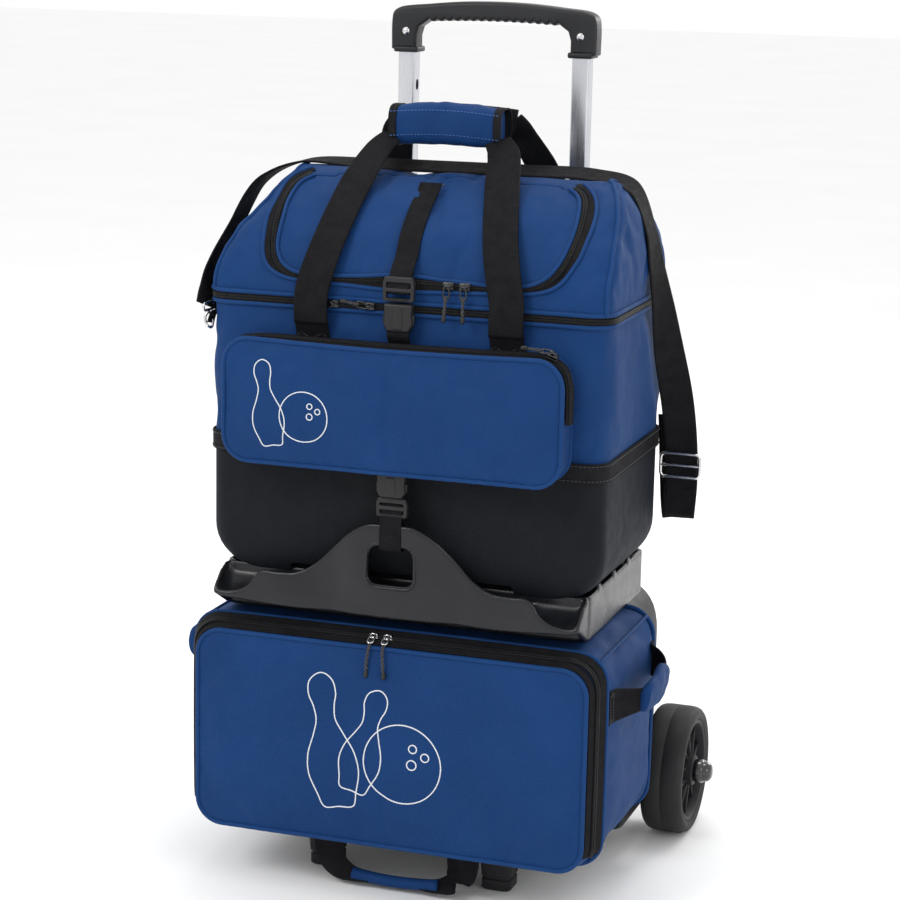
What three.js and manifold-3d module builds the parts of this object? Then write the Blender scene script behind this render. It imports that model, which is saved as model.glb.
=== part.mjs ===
// Two-level roller bag for four bowling balls: a zipped lower bag on a moulded wheel base with a
// telescoping pull handle, and a lift-off two-ball tote with a domed shoe lid on the tray above it.
// Millimetres, +Z up, +X to the right of someone facing the front, which looks along -Y.
// The origin is on the floor, under the middle of the whole bag's outline.
import * as THREE from 'three';
import { mergeVertices } from 'three/addons/utils/BufferGeometryUtils.js';
import { ConvexGeometry } from 'three/addons/geometries/ConvexGeometry.js';
import Module from 'manifold-3d';

const wasm = await Module();
wasm.setup();

// ---- driving dimensions ----
const BALL_RADIUS = 108;
const BAG_Y = -79; // depth of the lower bag's middle, from the origin
const GAP = 0.3; // between touching pieces
const RUN_GAP = 0.4; // around a piece that moves
const FABRIC = 4; // padded fabric wall
const PLASTIC = 4; // moulded wall

// Lower bag
const LOWER_HALF = 235;
const LOWER_BOTTOM = 66;
const LOWER_TOP = 300;
const LOWER_BACK = 98;
const LOWER_CORNER = 34;
const PANEL_FRONT = -127;
const PANEL_BACK = -100;
const FACE_INSET = 13; // the front face is smaller than the bag behind it, all round but below
const BASE_PLATE_FRONT = -96;
const BOTTOM_GRAB_Y = -90;

// Wheel base
const WHEEL_RADIUS = 75;
const WHEEL_Y = 220;
const WHEEL_INNER = 212;
const WHEEL_OUTER = 263;
const TYRE_BORE = 60;
const AXLE_RADIUS = 6;
const CAP_RADIUS = 14;
const CAP_TIP = 283;
const SHELL_HALF = 208;
const SHELL_BACK = 236;
const SHELL_BOTTOM = 30;
const SHELL_TOP = 300;
const SHELL_SHOULDER = 62;
const FOOT_X = 102;
const FOOT_Y = -31;
const BASE_PLATE_TOP = LOWER_BOTTOM - 0.5;
const BASE_PLATE_BOTTOM = 59;

// Pull handle: three square tubes that slide in each other
const TUBE_X = 103;
const TUBE_Y = 198.7;
const OUTER_TUBE = 28;
const MIDDLE_TUBE = 24;
const INNER_TUBE = 20;
const INNER_TUBE_WALL = 1.5;
const OUTER_TUBE_BOTTOM = 96;
const OUTER_TUBE_TOP = 400;
const MIDDLE_TUBE_BOTTOM = 350;
const MIDDLE_TUBE_TOP = 690;
const INNER_TUBE_BOTTOM = 594;
const INNER_TUBE_TOP = 932;
const COLLAR_HEIGHT = 15;
const LOCK_HOLE_Z = 862;
const GRIP_HALF = 121;
const GRIP_DEPTH = 26;
const GRIP_BOTTOM = 902;
const GRIP_TOP = 958;
const RIVET_Z = 923;

// Tray
const TRAY_HALF = 207.5;
const TRAY_FRONT = -84;
const TRAY_BACK = 153;
const TRAY_BOTTOM = 306;
const TRAY_FLOOR = 347.6;
const TRAY_WALL_TOP = 356;
const LIP_FRONT = -118;
const LIP_THICKNESS = 5;
const LIP_HOLE = { half: 25, low: 358, high: 399 };

// Tote
const TOTE_HALF = 222;
const TOTE_FRONT = -95;
const TOTE_BACK = 147;
const TOTE_BOTTOM = 348;
const TOTE_SEAM = 491;
const TOTE_RIM = 646;
const TOTE_CORNER = 24;
const BASE_CORNER = 50;
const POCKET_HALF = 187;
const POCKET_FRONT = -137;
const POCKET_LOW = 482;
const POCKET_HIGH = 612;

// Lid and shoe flap
const LID_HINGE_Y = 149.5;
const ZIPPER_HEIGHT = 9;
const LID_WALL = 4;
const FLAP_TOP_Y = 8;
const FLAP_BOTTOM = 676;

// Webbing
const WEB_WIDTH = 38;
const WEB = 2.4;
const NARROW_WEB = 25;
const CARRY_WEB_X = 108;
const CARRY_WRAP_HALF = 62;

// ---- materials ----
function material(color, roughness, metalness = 0) {
  return new THREE.MeshStandardMaterial({ color, roughness, metalness });
}
const blueFabric = () => material(0x1f4a8c, 0.8);
const blackWeb = () => material(0x17181a, 0.85);
const blackMould = () => material(0x1c1d21, 0.55);
const trayPlastic = () => material(0x26272b, 0.4);
const aluminium = () => material(0xb9bcc0, 0.35, 0.9);
const steel = () => material(0xa9abb0, 0.25, 1);
const rubber = () => material(0x1b1b1d, 0.7);
const buckleNylon = () => material(0x2a2b2e, 0.5);
const foam = () => material(0x3a3c40, 0.95);

// ---- solids ----
function toSolid(geometry) {
  const bare = geometry.clone();
  bare.deleteAttribute('normal');
  bare.deleteAttribute('uv');
  const merged = mergeVertices(bare, 1e-4);
  return new wasm.Manifold(new wasm.Mesh({
    numProp: 3,
    vertProperties: merged.attributes.position.array,
    triVerts: new Uint32Array(merged.index.array),
  }));
}

function toGeometry(solid) {
  const mesh = solid.getMesh();
  const geometry = new THREE.BufferGeometry();
  geometry.setAttribute('position', new THREE.BufferAttribute(mesh.vertProperties, 3));
  geometry.setIndex(new THREE.BufferAttribute(mesh.triVerts, 1));
  return geometry;
}

function join(...geometries) {
  return toGeometry(geometries.map(toSolid).reduce((a, b) => a.add(b)));
}

function cut(geometry, ...tools) {
  return toGeometry(tools.map(toSolid).reduce((a, b) => a.subtract(b), toSolid(geometry)));
}

function common(a, b) {
  return toGeometry(toSolid(a).intersect(toSolid(b)));
}

function boxBetween(low, high) {
  const size = high.map((v, i) => v - low[i]);
  const middle = high.map((v, i) => (v + low[i]) / 2);
  return new THREE.BoxGeometry(...size).translate(...middle);
}

function cylinderX(radius, x0, x1, y, z, segments = 24) {
  return new THREE.CylinderGeometry(radius, radius, x1 - x0, segments)
    .rotateZ(-Math.PI / 2).translate((x0 + x1) / 2, y, z);
}

function roundedRect(x0, y0, x1, y1, radii) {
  const each = Array.isArray(radii) ? radii : Array(4).fill(radii);
  const [bottomLeft, bottomRight, topRight, topLeft] = each;
  const shape = new THREE.Shape();
  shape.moveTo(x0 + bottomLeft, y0);
  shape.lineTo(x1 - bottomRight, y0);
  shape.absarc(x1 - bottomRight, y0 + bottomRight, bottomRight, -Math.PI / 2, 0);
  shape.lineTo(x1, y1 - topRight);
  shape.absarc(x1 - topRight, y1 - topRight, topRight, 0, Math.PI / 2);
  shape.lineTo(x0 + topLeft, y1);
  shape.absarc(x0 + topLeft, y1 - topLeft, topLeft, Math.PI / 2, Math.PI);
  shape.lineTo(x0, y0 + bottomLeft);
  shape.absarc(x0 + bottomLeft, y0 + bottomLeft, bottomLeft, Math.PI, 1.5 * Math.PI);
  return shape;
}

function polygon(points) {
  return new THREE.Shape(points.map(([x, y]) => new THREE.Vector2(x, y)));
}

function extrude(shape, depth, curveSegments = 6) {
  return new THREE.ExtrudeGeometry(shape, { depth, bevelEnabled: false, curveSegments });
}

// The shape's own x and y become X and Z, and it runs from y0 to y1.
function prismY(shape, y0, y1, curveSegments) {
  return extrude(shape, y1 - y0, curveSegments).rotateX(Math.PI / 2).translate(0, y1, 0);
}

// The shape's own x and y become Y and Z, and it runs from x0 to x1.
function prismX(shape, x0, x1, curveSegments) {
  const turn = new THREE.Matrix4().makeBasis(
    new THREE.Vector3(0, 1, 0), new THREE.Vector3(0, 0, 1), new THREE.Vector3(1, 0, 0));
  return extrude(shape, x1 - x0, curveSegments).applyMatrix4(turn).translate(x0, 0, 0);
}

function prismZ(shape, z0, z1, curveSegments) {
  return extrude(shape, z1 - z0, curveSegments).translate(0, 0, z0);
}

// A flat band along a curve through the points. Each point may carry its own width direction.
function ribbon(points, width, thickness, widthAxis, steps = 14) {
  const vectors = points.map((p) => new THREE.Vector3(...p));
  const centre = new THREE.CatmullRomCurve3(vectors, false, 'centripetal');
  const axes = widthAxis[0].length ? widthAxis : points.map(() => widthAxis);
  const across = new THREE.CatmullRomCurve3(axes.map((a) => new THREE.Vector3(...a)));
  const corners = [];
  for (let i = 0; i <= steps; i++) {
    const t = i / steps;
    const at = centre.getPoint(t);
    const along = centre.getTangent(t);
    const side = across.getPoint(t);
    side.addScaledVector(along, -side.dot(along)).normalize();
    const up = new THREE.Vector3().crossVectors(along, side).normalize();
    for (const [s, u] of [[1, 1], [-1, 1], [-1, -1], [1, -1]]) {
      const corner = at.clone();
      corner.addScaledVector(side, s * width / 2).addScaledVector(up, u * thickness / 2);
      corners.push(corner.x, corner.y, corner.z);
    }
  }
  const faces = [0, 3, 2, 0, 2, 1];
  for (let i = 0; i < steps; i++) {
    for (let k = 0; k < 4; k++) {
      const a = 4 * i + k;
      const b = 4 * i + (k + 1) % 4;
      faces.push(a, b, b + 4, a, b + 4, a + 4);
    }
  }
  const last = 4 * steps;
  faces.push(last, last + 1, last + 2, last, last + 2, last + 3);
  const geometry = new THREE.BufferGeometry();
  geometry.setAttribute('position', new THREE.Float32BufferAttribute(corners, 3));
  geometry.setIndex(faces);
  return geometry;
}

function mirrorX(points) {
  return points.map(([x, y, z]) => [-x, y, z]);
}

function part(name, geometry, finish, position = [0, 0, 0]) {
  const mesh = new THREE.Mesh(geometry, finish);
  mesh.name = name;
  mesh.position.set(...position);
  return mesh;
}

function group(...children) {
  return new THREE.Group().add(...children);
}

const SIDES = [['left', -1], ['right', 1]];

function bothSides(make) {
  return SIDES.flatMap(([side, sign]) => make(side, sign));
}

// ---- wheel base ----
function makeBackShell() {
  const outline = (inset) => roundedRect(
    -SHELL_HALF + inset, SHELL_BOTTOM + inset, SHELL_HALF - inset, SHELL_TOP - inset,
    [18, 18, SHELL_SHOULDER, SHELL_SHOULDER].map((r) => r - inset));
  const front = LOWER_BACK + 0.5;
  const outer = prismY(outline(0), front, SHELL_BACK);
  const hollow = prismY(outline(PLASTIC), front - 1, SHELL_BACK - PLASTIC);
  const tubeHoles = SIDES.map(([, sign]) => (
    squareBar(OUTER_TUBE + 2 * GAP, sign, SHELL_TOP - 20, SHELL_TOP + 20)));
  const axleHole = cylinderX(AXLE_RADIUS + GAP, -SHELL_HALF - 1, SHELL_HALF + 1, WHEEL_Y, WHEEL_RADIUS);
  return part('back_shell', cut(outer, hollow, ...tubeHoles, axleHole), blackMould());
}

function makeBasePlate() {
  const outline = roundedRect(-200, BASE_PLATE_FRONT, 200, LOWER_BACK, 20);
  const plate = prismZ(outline, BASE_PLATE_BOTTOM, BASE_PLATE_TOP, 3);
  const leg = polygon([[-17, 0], [17, 0], [21, BASE_PLATE_BOTTOM + 1], [-21, BASE_PLATE_BOTTOM + 1]]);
  const feet = SIDES.map(([, sign]) => (
    prismY(leg, FOOT_Y - 17, FOOT_Y + 17).translate(sign * FOOT_X, 0, 0)));
  return part('base_plate', join(plate, ...feet), blackMould());
}

function makeAxle() {
  const half = WHEEL_OUTER - 1;
  return part('axle', cylinderX(AXLE_RADIUS, -half, half, WHEEL_Y, WHEEL_RADIUS, 16), steel());
}

// A closed profile of [radius, x] points turned round the axle line, on the right or left side.
function turnedOnAxle(profile, sign, segments = 32) {
  const points = profile.map(([r, x]) => new THREE.Vector2(r, x));
  points.push(points[0].clone());
  return new THREE.LatheGeometry(points, segments)
    .rotateZ(-sign * Math.PI / 2).translate(0, WHEEL_Y, WHEEL_RADIUS);
}

function makeTyre(side, sign) {
  const profile = [
    [TYRE_BORE, WHEEL_INNER + 2], [WHEEL_RADIUS - 7, WHEEL_INNER], [WHEEL_RADIUS - 1.5, WHEEL_INNER + 7],
    [WHEEL_RADIUS, WHEEL_INNER + 16], [WHEEL_RADIUS, WHEEL_OUTER - 16],
    [WHEEL_RADIUS - 1.5, WHEEL_OUTER - 7],
    [WHEEL_RADIUS - 7, WHEEL_OUTER], [TYRE_BORE, WHEEL_OUTER - 2],
  ];
  return part(`tyre_${side}`, turnedOnAxle(profile, sign), rubber());
}

function makeHub(side, sign) {
  const rim = TYRE_BORE - GAP;
  const bore = AXLE_RADIUS + RUN_GAP;
  const barrel = 18;
  const disc = 236;
  const profile = [
    [bore, WHEEL_INNER], [barrel, WHEEL_INNER], [barrel, disc - 3], [rim - 6, disc - 3],
    [rim - 6, WHEEL_INNER + 3],
    [rim, WHEEL_INNER + 3], [rim, WHEEL_OUTER - 3], [rim - 6, WHEEL_OUTER - 3], [rim - 6, disc + 3],
    [barrel, disc + 3], [barrel, WHEEL_OUTER], [bore, WHEEL_OUTER],
  ];
  const ribs = Array.from({ length: 8 }, (_, i) => new THREE.BoxGeometry(14, 3, rim - 4 - barrel + 2)
    .translate(disc + 8, 0, (rim - 4 + barrel) / 2).rotateX(i * Math.PI / 4)
    .translate(0, WHEEL_Y, WHEEL_RADIUS));
  const rightRibs = sign > 0 ? ribs : ribs.map((rib) => rib.translate(-2 * (disc + 8), 0, 0));
  return part(`wheel_hub_${side}`, join(turnedOnAxle(profile, sign), ...rightRibs), blackMould());
}

function makeAxleCap(side, sign) {
  const base = WHEEL_OUTER + GAP;
  const profile = [
    [0, base], [CAP_RADIUS, base], [CAP_RADIUS, base + 9], [CAP_RADIUS * 0.86, CAP_TIP - 5],
    [CAP_RADIUS * 0.5, CAP_TIP - 1], [0, CAP_TIP],
  ];
  const points = profile.map(([r, x]) => new THREE.Vector2(r, x));
  const dome = new THREE.LatheGeometry(points, 20).rotateZ(-sign * Math.PI / 2);
  return part(`axle_cap_${side}`, dome, blackMould(), [0, WHEEL_Y, WHEEL_RADIUS]);
}

// ---- pull handle ----
function squareBar(width, sign, z0, z1) {
  return new THREE.BoxGeometry(width, width, z1 - z0).translate(sign * TUBE_X, TUBE_Y, (z0 + z1) / 2);
}

function squareTube(width, bore, sign, z0, z1) {
  return cut(squareBar(width, sign, z0, z1), squareBar(bore, sign, z0 - 1, z1 + 1));
}

function makeOuterTube(side, sign) {
  const bore = MIDDLE_TUBE + 2 * GAP;
  const tube = squareTube(OUTER_TUBE, bore, sign, OUTER_TUBE_BOTTOM, OUTER_TUBE_TOP);
  const top = OUTER_TUBE_TOP + COLLAR_HEIGHT;
  const collar = squareTube(OUTER_TUBE + 6, bore, sign, OUTER_TUBE_TOP + GAP, top);
  return [
    part(`outer_tube_${side}`, tube, aluminium()),
    part(`outer_collar_${side}`, collar, blackMould()),
  ];
}

function makeTubeBrace() {
  const wide = SHELL_HALF - PLASTIC - 0.5;
  const low = [-wide, 176, OUTER_TUBE_BOTTOM - 10];
  const high = [wide, SHELL_BACK - PLASTIC - 0.5, OUTER_TUBE_BOTTOM - GAP];
  return part('tube_brace', boxBetween(low, high), blackMould());
}

function makeMiddleTube(side, sign) {
  const bore = INNER_TUBE + 2 * GAP;
  const tube = squareTube(MIDDLE_TUBE, bore, sign, MIDDLE_TUBE_BOTTOM, MIDDLE_TUBE_TOP);
  const top = MIDDLE_TUBE_TOP + COLLAR_HEIGHT;
  const collar = squareTube(MIDDLE_TUBE + 6, bore, sign, MIDDLE_TUBE_TOP + GAP, top);
  return [
    part(`middle_tube_${side}`, tube, aluminium()),
    part(`middle_collar_${side}`, collar, blackMould()),
  ];
}

function rivetBar(radius, sign) {
  return new THREE.CylinderGeometry(radius, radius, 60, 12).translate(sign * TUBE_X, TUBE_Y, RIVET_Z);
}

function makeInnerTube(side, sign) {
  const bore = INNER_TUBE - 2 * INNER_TUBE_WALL;
  const tube = squareTube(INNER_TUBE, bore, sign, INNER_TUBE_BOTTOM, INNER_TUBE_TOP);
  const inward = sign * (TUBE_X - INNER_TUBE / 2);
  const lockHole = cylinderX(5, inward - 3, inward + 3, TUBE_Y, LOCK_HOLE_Z, 16);
  return part(`inner_tube_${side}`, cut(tube, lockHole, rivetBar(2.8, sign)), aluminium());
}

function gripOutline() {
  const inner = TUBE_X - INNER_TUBE / 2 - 1.5;
  const shape = new THREE.Shape();
  shape.moveTo(-GRIP_HALF, GRIP_BOTTOM);
  shape.lineTo(-inner, GRIP_BOTTOM);
  shape.lineTo(-inner, 922);
  shape.quadraticCurveTo(-inner + 2, 934, -65, 935);
  shape.quadraticCurveTo(0, 939, 65, 935);
  shape.quadraticCurveTo(inner - 2, 934, inner, 922);
  shape.lineTo(inner, GRIP_BOTTOM);
  shape.lineTo(GRIP_HALF, GRIP_BOTTOM);
  shape.lineTo(GRIP_HALF, 936);
  shape.quadraticCurveTo(GRIP_HALF, 948, GRIP_HALF - 14, 950);
  shape.quadraticCurveTo(50, GRIP_TOP, 0, GRIP_TOP);
  shape.quadraticCurveTo(-50, GRIP_TOP, 14 - GRIP_HALF, 950);
  shape.quadraticCurveTo(-GRIP_HALF, 948, -GRIP_HALF, 936);
  return shape;
}

function makeGrip() {
  const arch = prismY(gripOutline(), TUBE_Y - GRIP_DEPTH / 2, TUBE_Y + GRIP_DEPTH / 2, 8);
  const sockets = SIDES.map(([, sign]) => (
    squareBar(INNER_TUBE + 2 * GAP, sign, GRIP_BOTTOM - 1, INNER_TUBE_TOP + GAP)));
  const rivetHoles = SIDES.map(([, sign]) => rivetBar(2.8, sign));
  return part('handle_grip', cut(arch, ...sockets, ...rivetHoles), blackMould());
}

function makeRivet(side, sign) {
  const reach = GRIP_DEPTH / 2 + GAP;
  const profile = [
    [0, -reach - 2.5], [2.5, -reach - 2.2], [4.4, -reach - 1], [4.4, -reach], [2.4, -reach],
    [2.4, reach], [4.4, reach], [4.4, reach + 1], [2.5, reach + 2.2], [0, reach + 2.5],
  ];
  const points = profile.map(([r, y]) => new THREE.Vector2(r, y));
  const turned = new THREE.LatheGeometry(points, 12);
  return part(`grip_rivet_${side}`, turned, steel(), [sign * TUBE_X, TUBE_Y, RIVET_Z]);
}

// ---- tray ----
function lipOutline() {
  const shape = new THREE.Shape();
  shape.moveTo(-TRAY_HALF, 332);
  shape.quadraticCurveTo(0, 322, TRAY_HALF, 332);
  shape.lineTo(TRAY_HALF, TRAY_WALL_TOP);
  shape.lineTo(150, TRAY_WALL_TOP);
  shape.bezierCurveTo(100, TRAY_WALL_TOP, 85, 424, 30, 424);
  shape.lineTo(-30, 424);
  shape.bezierCurveTo(-85, 424, -100, TRAY_WALL_TOP, -150, TRAY_WALL_TOP);
  shape.lineTo(-TRAY_HALF, TRAY_WALL_TOP);
  const hole = roundedRect(-LIP_HOLE.half, LIP_HOLE.low, LIP_HOLE.half, LIP_HOLE.high, 8);
  shape.holes.push(new THREE.Path(hole.getPoints(3).reverse()));
  return shape;
}

function makeTray() {
  const footprint = (inset, front) => roundedRect(
    inset - TRAY_HALF, front + inset, TRAY_HALF - inset, TRAY_BACK - inset, 14 - inset);
  const block = prismZ(footprint(0, TRAY_FRONT), TRAY_BOTTOM, TRAY_WALL_TOP, 3);
  const seat = prismZ(footprint(PLASTIC, TRAY_FRONT - 20), TRAY_FLOOR, TRAY_WALL_TOP + 1, 3);
  const under = prismZ(footprint(PLASTIC, TRAY_FRONT), TRAY_BOTTOM - 1, TRAY_FLOOR - PLASTIC, 3);
  const shelf = boxBetween([-TRAY_HALF + 14, LIP_FRONT + 1, 336], [TRAY_HALF - 14, TRAY_FRONT + 6, 340]);
  const lip = prismY(lipOutline(), LIP_FRONT, LIP_FRONT + LIP_THICKNESS);
  const flange = boxBetween([-122, TRAY_BACK - 5, 312], [122, TUBE_Y - OUTER_TUBE / 2 - GAP, 330]);
  return part('tray', join(cut(block, seat, under), shelf, lip, flange), trayPlastic());
}

function makeTrayStrap() {
  const front = LIP_FRONT - 2;
  const behind = LIP_FRONT + LIP_THICKNESS + 2;
  const route = [
    [0, behind, 436], [0, behind, 402], [0, LIP_FRONT + 2.5, 393], [0, front, 402], [0, front, 431],
  ];
  return part('tray_strap', ribbon(route, NARROW_WEB, 2, [1, 0, 0], 16), blackWeb());
}

// ---- lower bag ----
function lowerOutline(inset) {
  const box = [inset - LOWER_HALF, LOWER_BOTTOM + inset, LOWER_HALF - inset, LOWER_TOP - inset];
  return roundedRect(...box, LOWER_CORNER - inset);
}

function makeLowerBody() {
  const outer = prismY(lowerOutline(0), PANEL_BACK + GAP, LOWER_BACK);
  const hollow = prismY(lowerOutline(FABRIC), PANEL_BACK - 1, LOWER_BACK - FABRIC);
  return part('lower_bag_body', cut(outer, hollow), blueFabric());
}

// A block that widens from the front face to the bag behind it, drawn in by an inset.
function panelBlock(inset, front, back) {
  const half = LOWER_HALF - FACE_INSET - inset;
  const top = LOWER_TOP - FACE_INSET - inset;
  const face = roundedRect(-half, LOWER_BOTTOM + inset, half, top, LOWER_CORNER - inset - 6);
  const slices = [prismY(face, front, front + 1), prismY(lowerOutline(inset), back - 1, back)];
  return toGeometry(wasm.Manifold.hull(slices.map(toSolid)));
}

function makeLowerPanel() {
  const outer = panelBlock(0, PANEL_FRONT, PANEL_BACK);
  const hollow = panelBlock(FABRIC, PANEL_FRONT + FABRIC, PANEL_BACK + 1);
  return part('lower_front_panel', cut(outer, hollow), blueFabric());
}

function ballCups(name, low, high, halfWidth, front, back) {
  const pad = boxBetween([-halfWidth, front, low], [halfWidth, back, high]);
  const balls = SIDES.map(([, sign]) => new THREE.SphereGeometry(BALL_RADIUS + 1, 24, 16)
    .rotateX(Math.PI / 2).translate(sign * (BALL_RADIUS + 1), (front + back) / 2, low + BALL_RADIUS + 4));
  return part(name, cut(pad, ...balls), foam());
}

function makeLowerCups() {
  const floor = LOWER_BOTTOM + FABRIC + GAP;
  return ballCups('lower_ball_cups', floor, floor + 24, 200, -94, LOWER_BACK - FABRIC - 2);
}

function makeSideHandle(side, sign) {
  const wall = LOWER_HALF + WEB / 2 + 1.2;
  const route = [
    [wall, -88, 237], [wall, -70, 237], [250, -50, 236], [264, -24, 235], [268, 8, 235],
    [264, 40, 236], [250, 64, 236], [wall, 80, 237], [wall, 93, 237],
  ].map(([x, y, z]) => [sign * x, y, z]);
  const webbing = ribbon(route, WEB_WIDTH, WEB, [0, 0, 1], 18);
  const wrap = boxBetween([262, -30, 214], [274, 46, 258]);
  const turned = sign > 0 ? wrap : wrap.rotateZ(Math.PI).translate(0, 16, 0);
  return part(`side_handle_${side}`, join(webbing, turned), blackWeb());
}

function makeBottomHandle() {
  const outline = polygon([
    [-97, 56], [-97, 28], [-70, 6], [70, 6], [97, 28], [97, 56],
    [59, 56], [59, 32], [46, 20], [-46, 20], [-59, 32], [-59, 56],
  ]);
  const webbing = prismY(outline, BOTTOM_GRAB_Y - 1.5, BOTTOM_GRAB_Y + 1.5);
  const wrap = cylinderX(7.5, -52, 54, BOTTOM_GRAB_Y, 13, 10);
  return part('bottom_handle', join(webbing, wrap), blackWeb());
}

// A zip slider with its hanging pull. The pull points along (pullX, pullZ).
function makeSlider(name, x, y, z, pullX, pullZ) {
  const body = boxBetween([x - 5, y - 5, z - 6], [x + 5, y, z + 6]);
  const length = 30;
  const reach = [x + pullX * length, z + pullZ * length];
  const pull = boxBetween(
    [Math.min(x - 2.5, reach[0]), y - 4, Math.min(z - 2.5, reach[1])],
    [Math.max(x + 2.5, reach[0]), y - 1.5, Math.max(z + 2.5, reach[1])]);
  return part(name, join(body, pull), steel());
}

// ---- tote ----
function toteFootprint(inset) {
  const half = TOTE_HALF - inset;
  return roundedRect(-half, TOTE_FRONT + inset, half, TOTE_BACK - inset, TOTE_CORNER - inset);
}

function tubBlock(inset, top) {
  const outline = roundedRect(inset - TOTE_HALF, TOTE_BOTTOM + inset, TOTE_HALF - inset, top,
    [BASE_CORNER - inset, BASE_CORNER - inset, 1, 1]);
  const column = prismZ(toteFootprint(inset), TOTE_BOTTOM - 5, top + 5, 4);
  return common(prismY(outline, TOTE_FRONT, TOTE_BACK), column);
}

function makeToteBase() {
  return part('tote_base', cut(tubBlock(0, TOTE_SEAM), tubBlock(PLASTIC, TOTE_SEAM + 10)), blackMould());
}

function makeToteBody() {
  const bottom = TOTE_SEAM + GAP;
  const outer = prismZ(toteFootprint(0), bottom, TOTE_RIM, 4);
  const hollow = prismZ(toteFootprint(FABRIC), bottom - 1, TOTE_RIM + 1, 4);
  const patches = SIDES.flatMap(([, sign]) => [TOTE_FRONT - WEB, TOTE_BACK - 1].map((y) => {
    const inner = CARRY_WEB_X - WEB_WIDTH / 2;
    const xs = [sign * inner, sign * (inner + WEB_WIDTH)].sort((a, b) => a - b);
    return boxBetween([xs[0], y, 614], [xs[1], y + WEB + 1, 626]);
  }));
  return part('tote_body', join(cut(outer, hollow), ...patches), blueFabric());
}

function makeToteBand() {
  const outer = prismZ(toteFootprint(-2.8), TOTE_SEAM - 10, TOTE_SEAM + 12, 4);
  const hollow = prismZ(toteFootprint(-GAP), TOTE_SEAM - 11, TOTE_SEAM + 13, 4);
  return part('tote_band', cut(outer, hollow), blackWeb());
}

function makePocket() {
  const outline = (inset) => roundedRect(
    inset - POCKET_HALF, POCKET_LOW + inset, POCKET_HALF - inset, POCKET_HIGH - inset, 28 - inset);
  const back = TOTE_FRONT - 3.2;
  const outer = prismY(outline(0), POCKET_FRONT, back);
  const hollow = prismY(outline(3), POCKET_FRONT + 3, back - 3);
  const mouth = boxBetween([-150, -128, POCKET_HIGH - 6], [150, -110, POCKET_HIGH + 2]);
  return part('front_pocket', cut(outer, hollow, mouth), blueFabric());
}

function makeToteCups() {
  const floor = TOTE_BOTTOM + PLASTIC + GAP;
  return ballCups('tote_ball_cups', floor, floor + 24, 172, -90, 142);
}

function makeSocket(name, z0, z1, front, back) {
  const shell = boxBetween([-16, front, z0], [16, back, z1]);
  const throat = boxBetween([-11, front + 3, z0 + 6], [11, back - 2.5, z1 + 1]);
  return part(name, cut(shell, throat), buckleNylon());
}

function makeStrapRings() {
  const hook = new THREE.Shape(roundedRect(-5, -10, 5, 10, 4.5).getPoints(3));
  hook.holes.push(new THREE.Path(roundedRect(-2.6, -7.6, 2.6, 7.6, 2.4).getPoints(3).reverse()));
  const left = prismX(hook, -TOTE_HALF - 6, -TOTE_HALF - 3).translate(0, -80, 630);
  const right = prismX(hook, TOTE_HALF + 10, TOTE_HALF + 13).translate(0, 143, 525);
  return [part('strap_hook_left', left, steel()), part('strap_hook_right', right, steel())];
}

function makeShoulderStrap() {
  const route = [
    [-231, -80, 640], [-233, -68, 668], [-223, -32, 716], [-206, 12, 766], [-170, 42, 788], [0, 50, 784],
    [150, 50, 784], [204, 44, 776], [228, 46, 720], [238, 60, 660], [243, 80, 600], [249, 110, 530],
    [252, 126, 480], [250, 134, 430], [246, 146, 396], [242, 158, 420], [240, 150, 480], [238, 143, 512],
  ];
  const across = [
    [0.3, 1, 0], [0, 1, 0], [0, 1, 0], [0, 1, 0], [0, 1, 0], [0, 1, 0],
    [0, 1, 0], [0, 1, 0], [0.2, 1, 0], [0.6, 1, 0], [0.9, 0.5, 0], [1, 0, 0],
    [1, 0, 0], [1, 0, 0], [1, 0, 0], [1, 0, 0], [1, 0, 0], [1, 0, 0],
  ];
  return part('shoulder_strap', ribbon(route, 30, 2, across, 60), blackWeb());
}

function makeStrapAdjuster() {
  const frame = new THREE.Shape(roundedRect(-22, -13, 22, 13, 6).getPoints(3));
  frame.holes.push(new THREE.Path(roundedRect(-19, -10, 19, 10, 4).getPoints(3).reverse()));
  const plate = prismY(frame, -1.5, 1.5);
  return part('strap_adjuster', plate, steel(), [252, 121, 462]);
}

// ---- lid ----
// Cross sections of the dome: height, half width, front and back.
const DOME = [
  [TOTE_RIM + ZIPPER_HEIGHT + 0.8, 226, -97, LID_HINGE_Y - 0.5],
  [685, 222, -93, 146],
  [718, 214, -70, 128],
  [765, 200, -18, 78],
  [779, 185, 20, 45],
];

function dome(inset) {
  const points = DOME.flatMap(([height, half, front, back], level) => {
    const lift = level === 0 ? inset : 0;
    const drop = level === DOME.length - 1 ? inset : 0;
    const x = half - inset;
    const y0 = front + inset;
    const y1 = back - inset;
    const chamfer = Math.min(20, (y1 - y0) / 3);
    const z = height + lift - drop;
    const ring = [[x - chamfer, y0], [x - chamfer * 0.3, y0 + chamfer * 0.3], [x, y0 + chamfer],
      [x, y1 - chamfer], [x - chamfer * 0.3, y1 - chamfer * 0.3], [x - chamfer, y1]];
    return ring.flatMap(([px, py]) => [new THREE.Vector3(px, py, z), new THREE.Vector3(-px, py, z)]);
  });
  return new ConvexGeometry(points);
}

function flapPrism(grow) {
  const shape = new THREE.Shape();
  const low = FLAP_BOTTOM - grow;
  const half = 160 + grow;
  const top = 142 + grow;
  shape.moveTo(-top, 790);
  shape.lineTo(-half, 722);
  shape.quadraticCurveTo(-half - 2, low, -118 - grow, low);
  shape.lineTo(118 + grow, low);
  shape.quadraticCurveTo(half + 2, low, half, 722);
  shape.lineTo(top, 790);
  return prismY(shape, -130, FLAP_TOP_Y + grow);
}

function makeLidShell() {
  return part('lid_shell', cut(dome(0), dome(LID_WALL), flapPrism(2 * RUN_GAP)), blueFabric());
}

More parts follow.
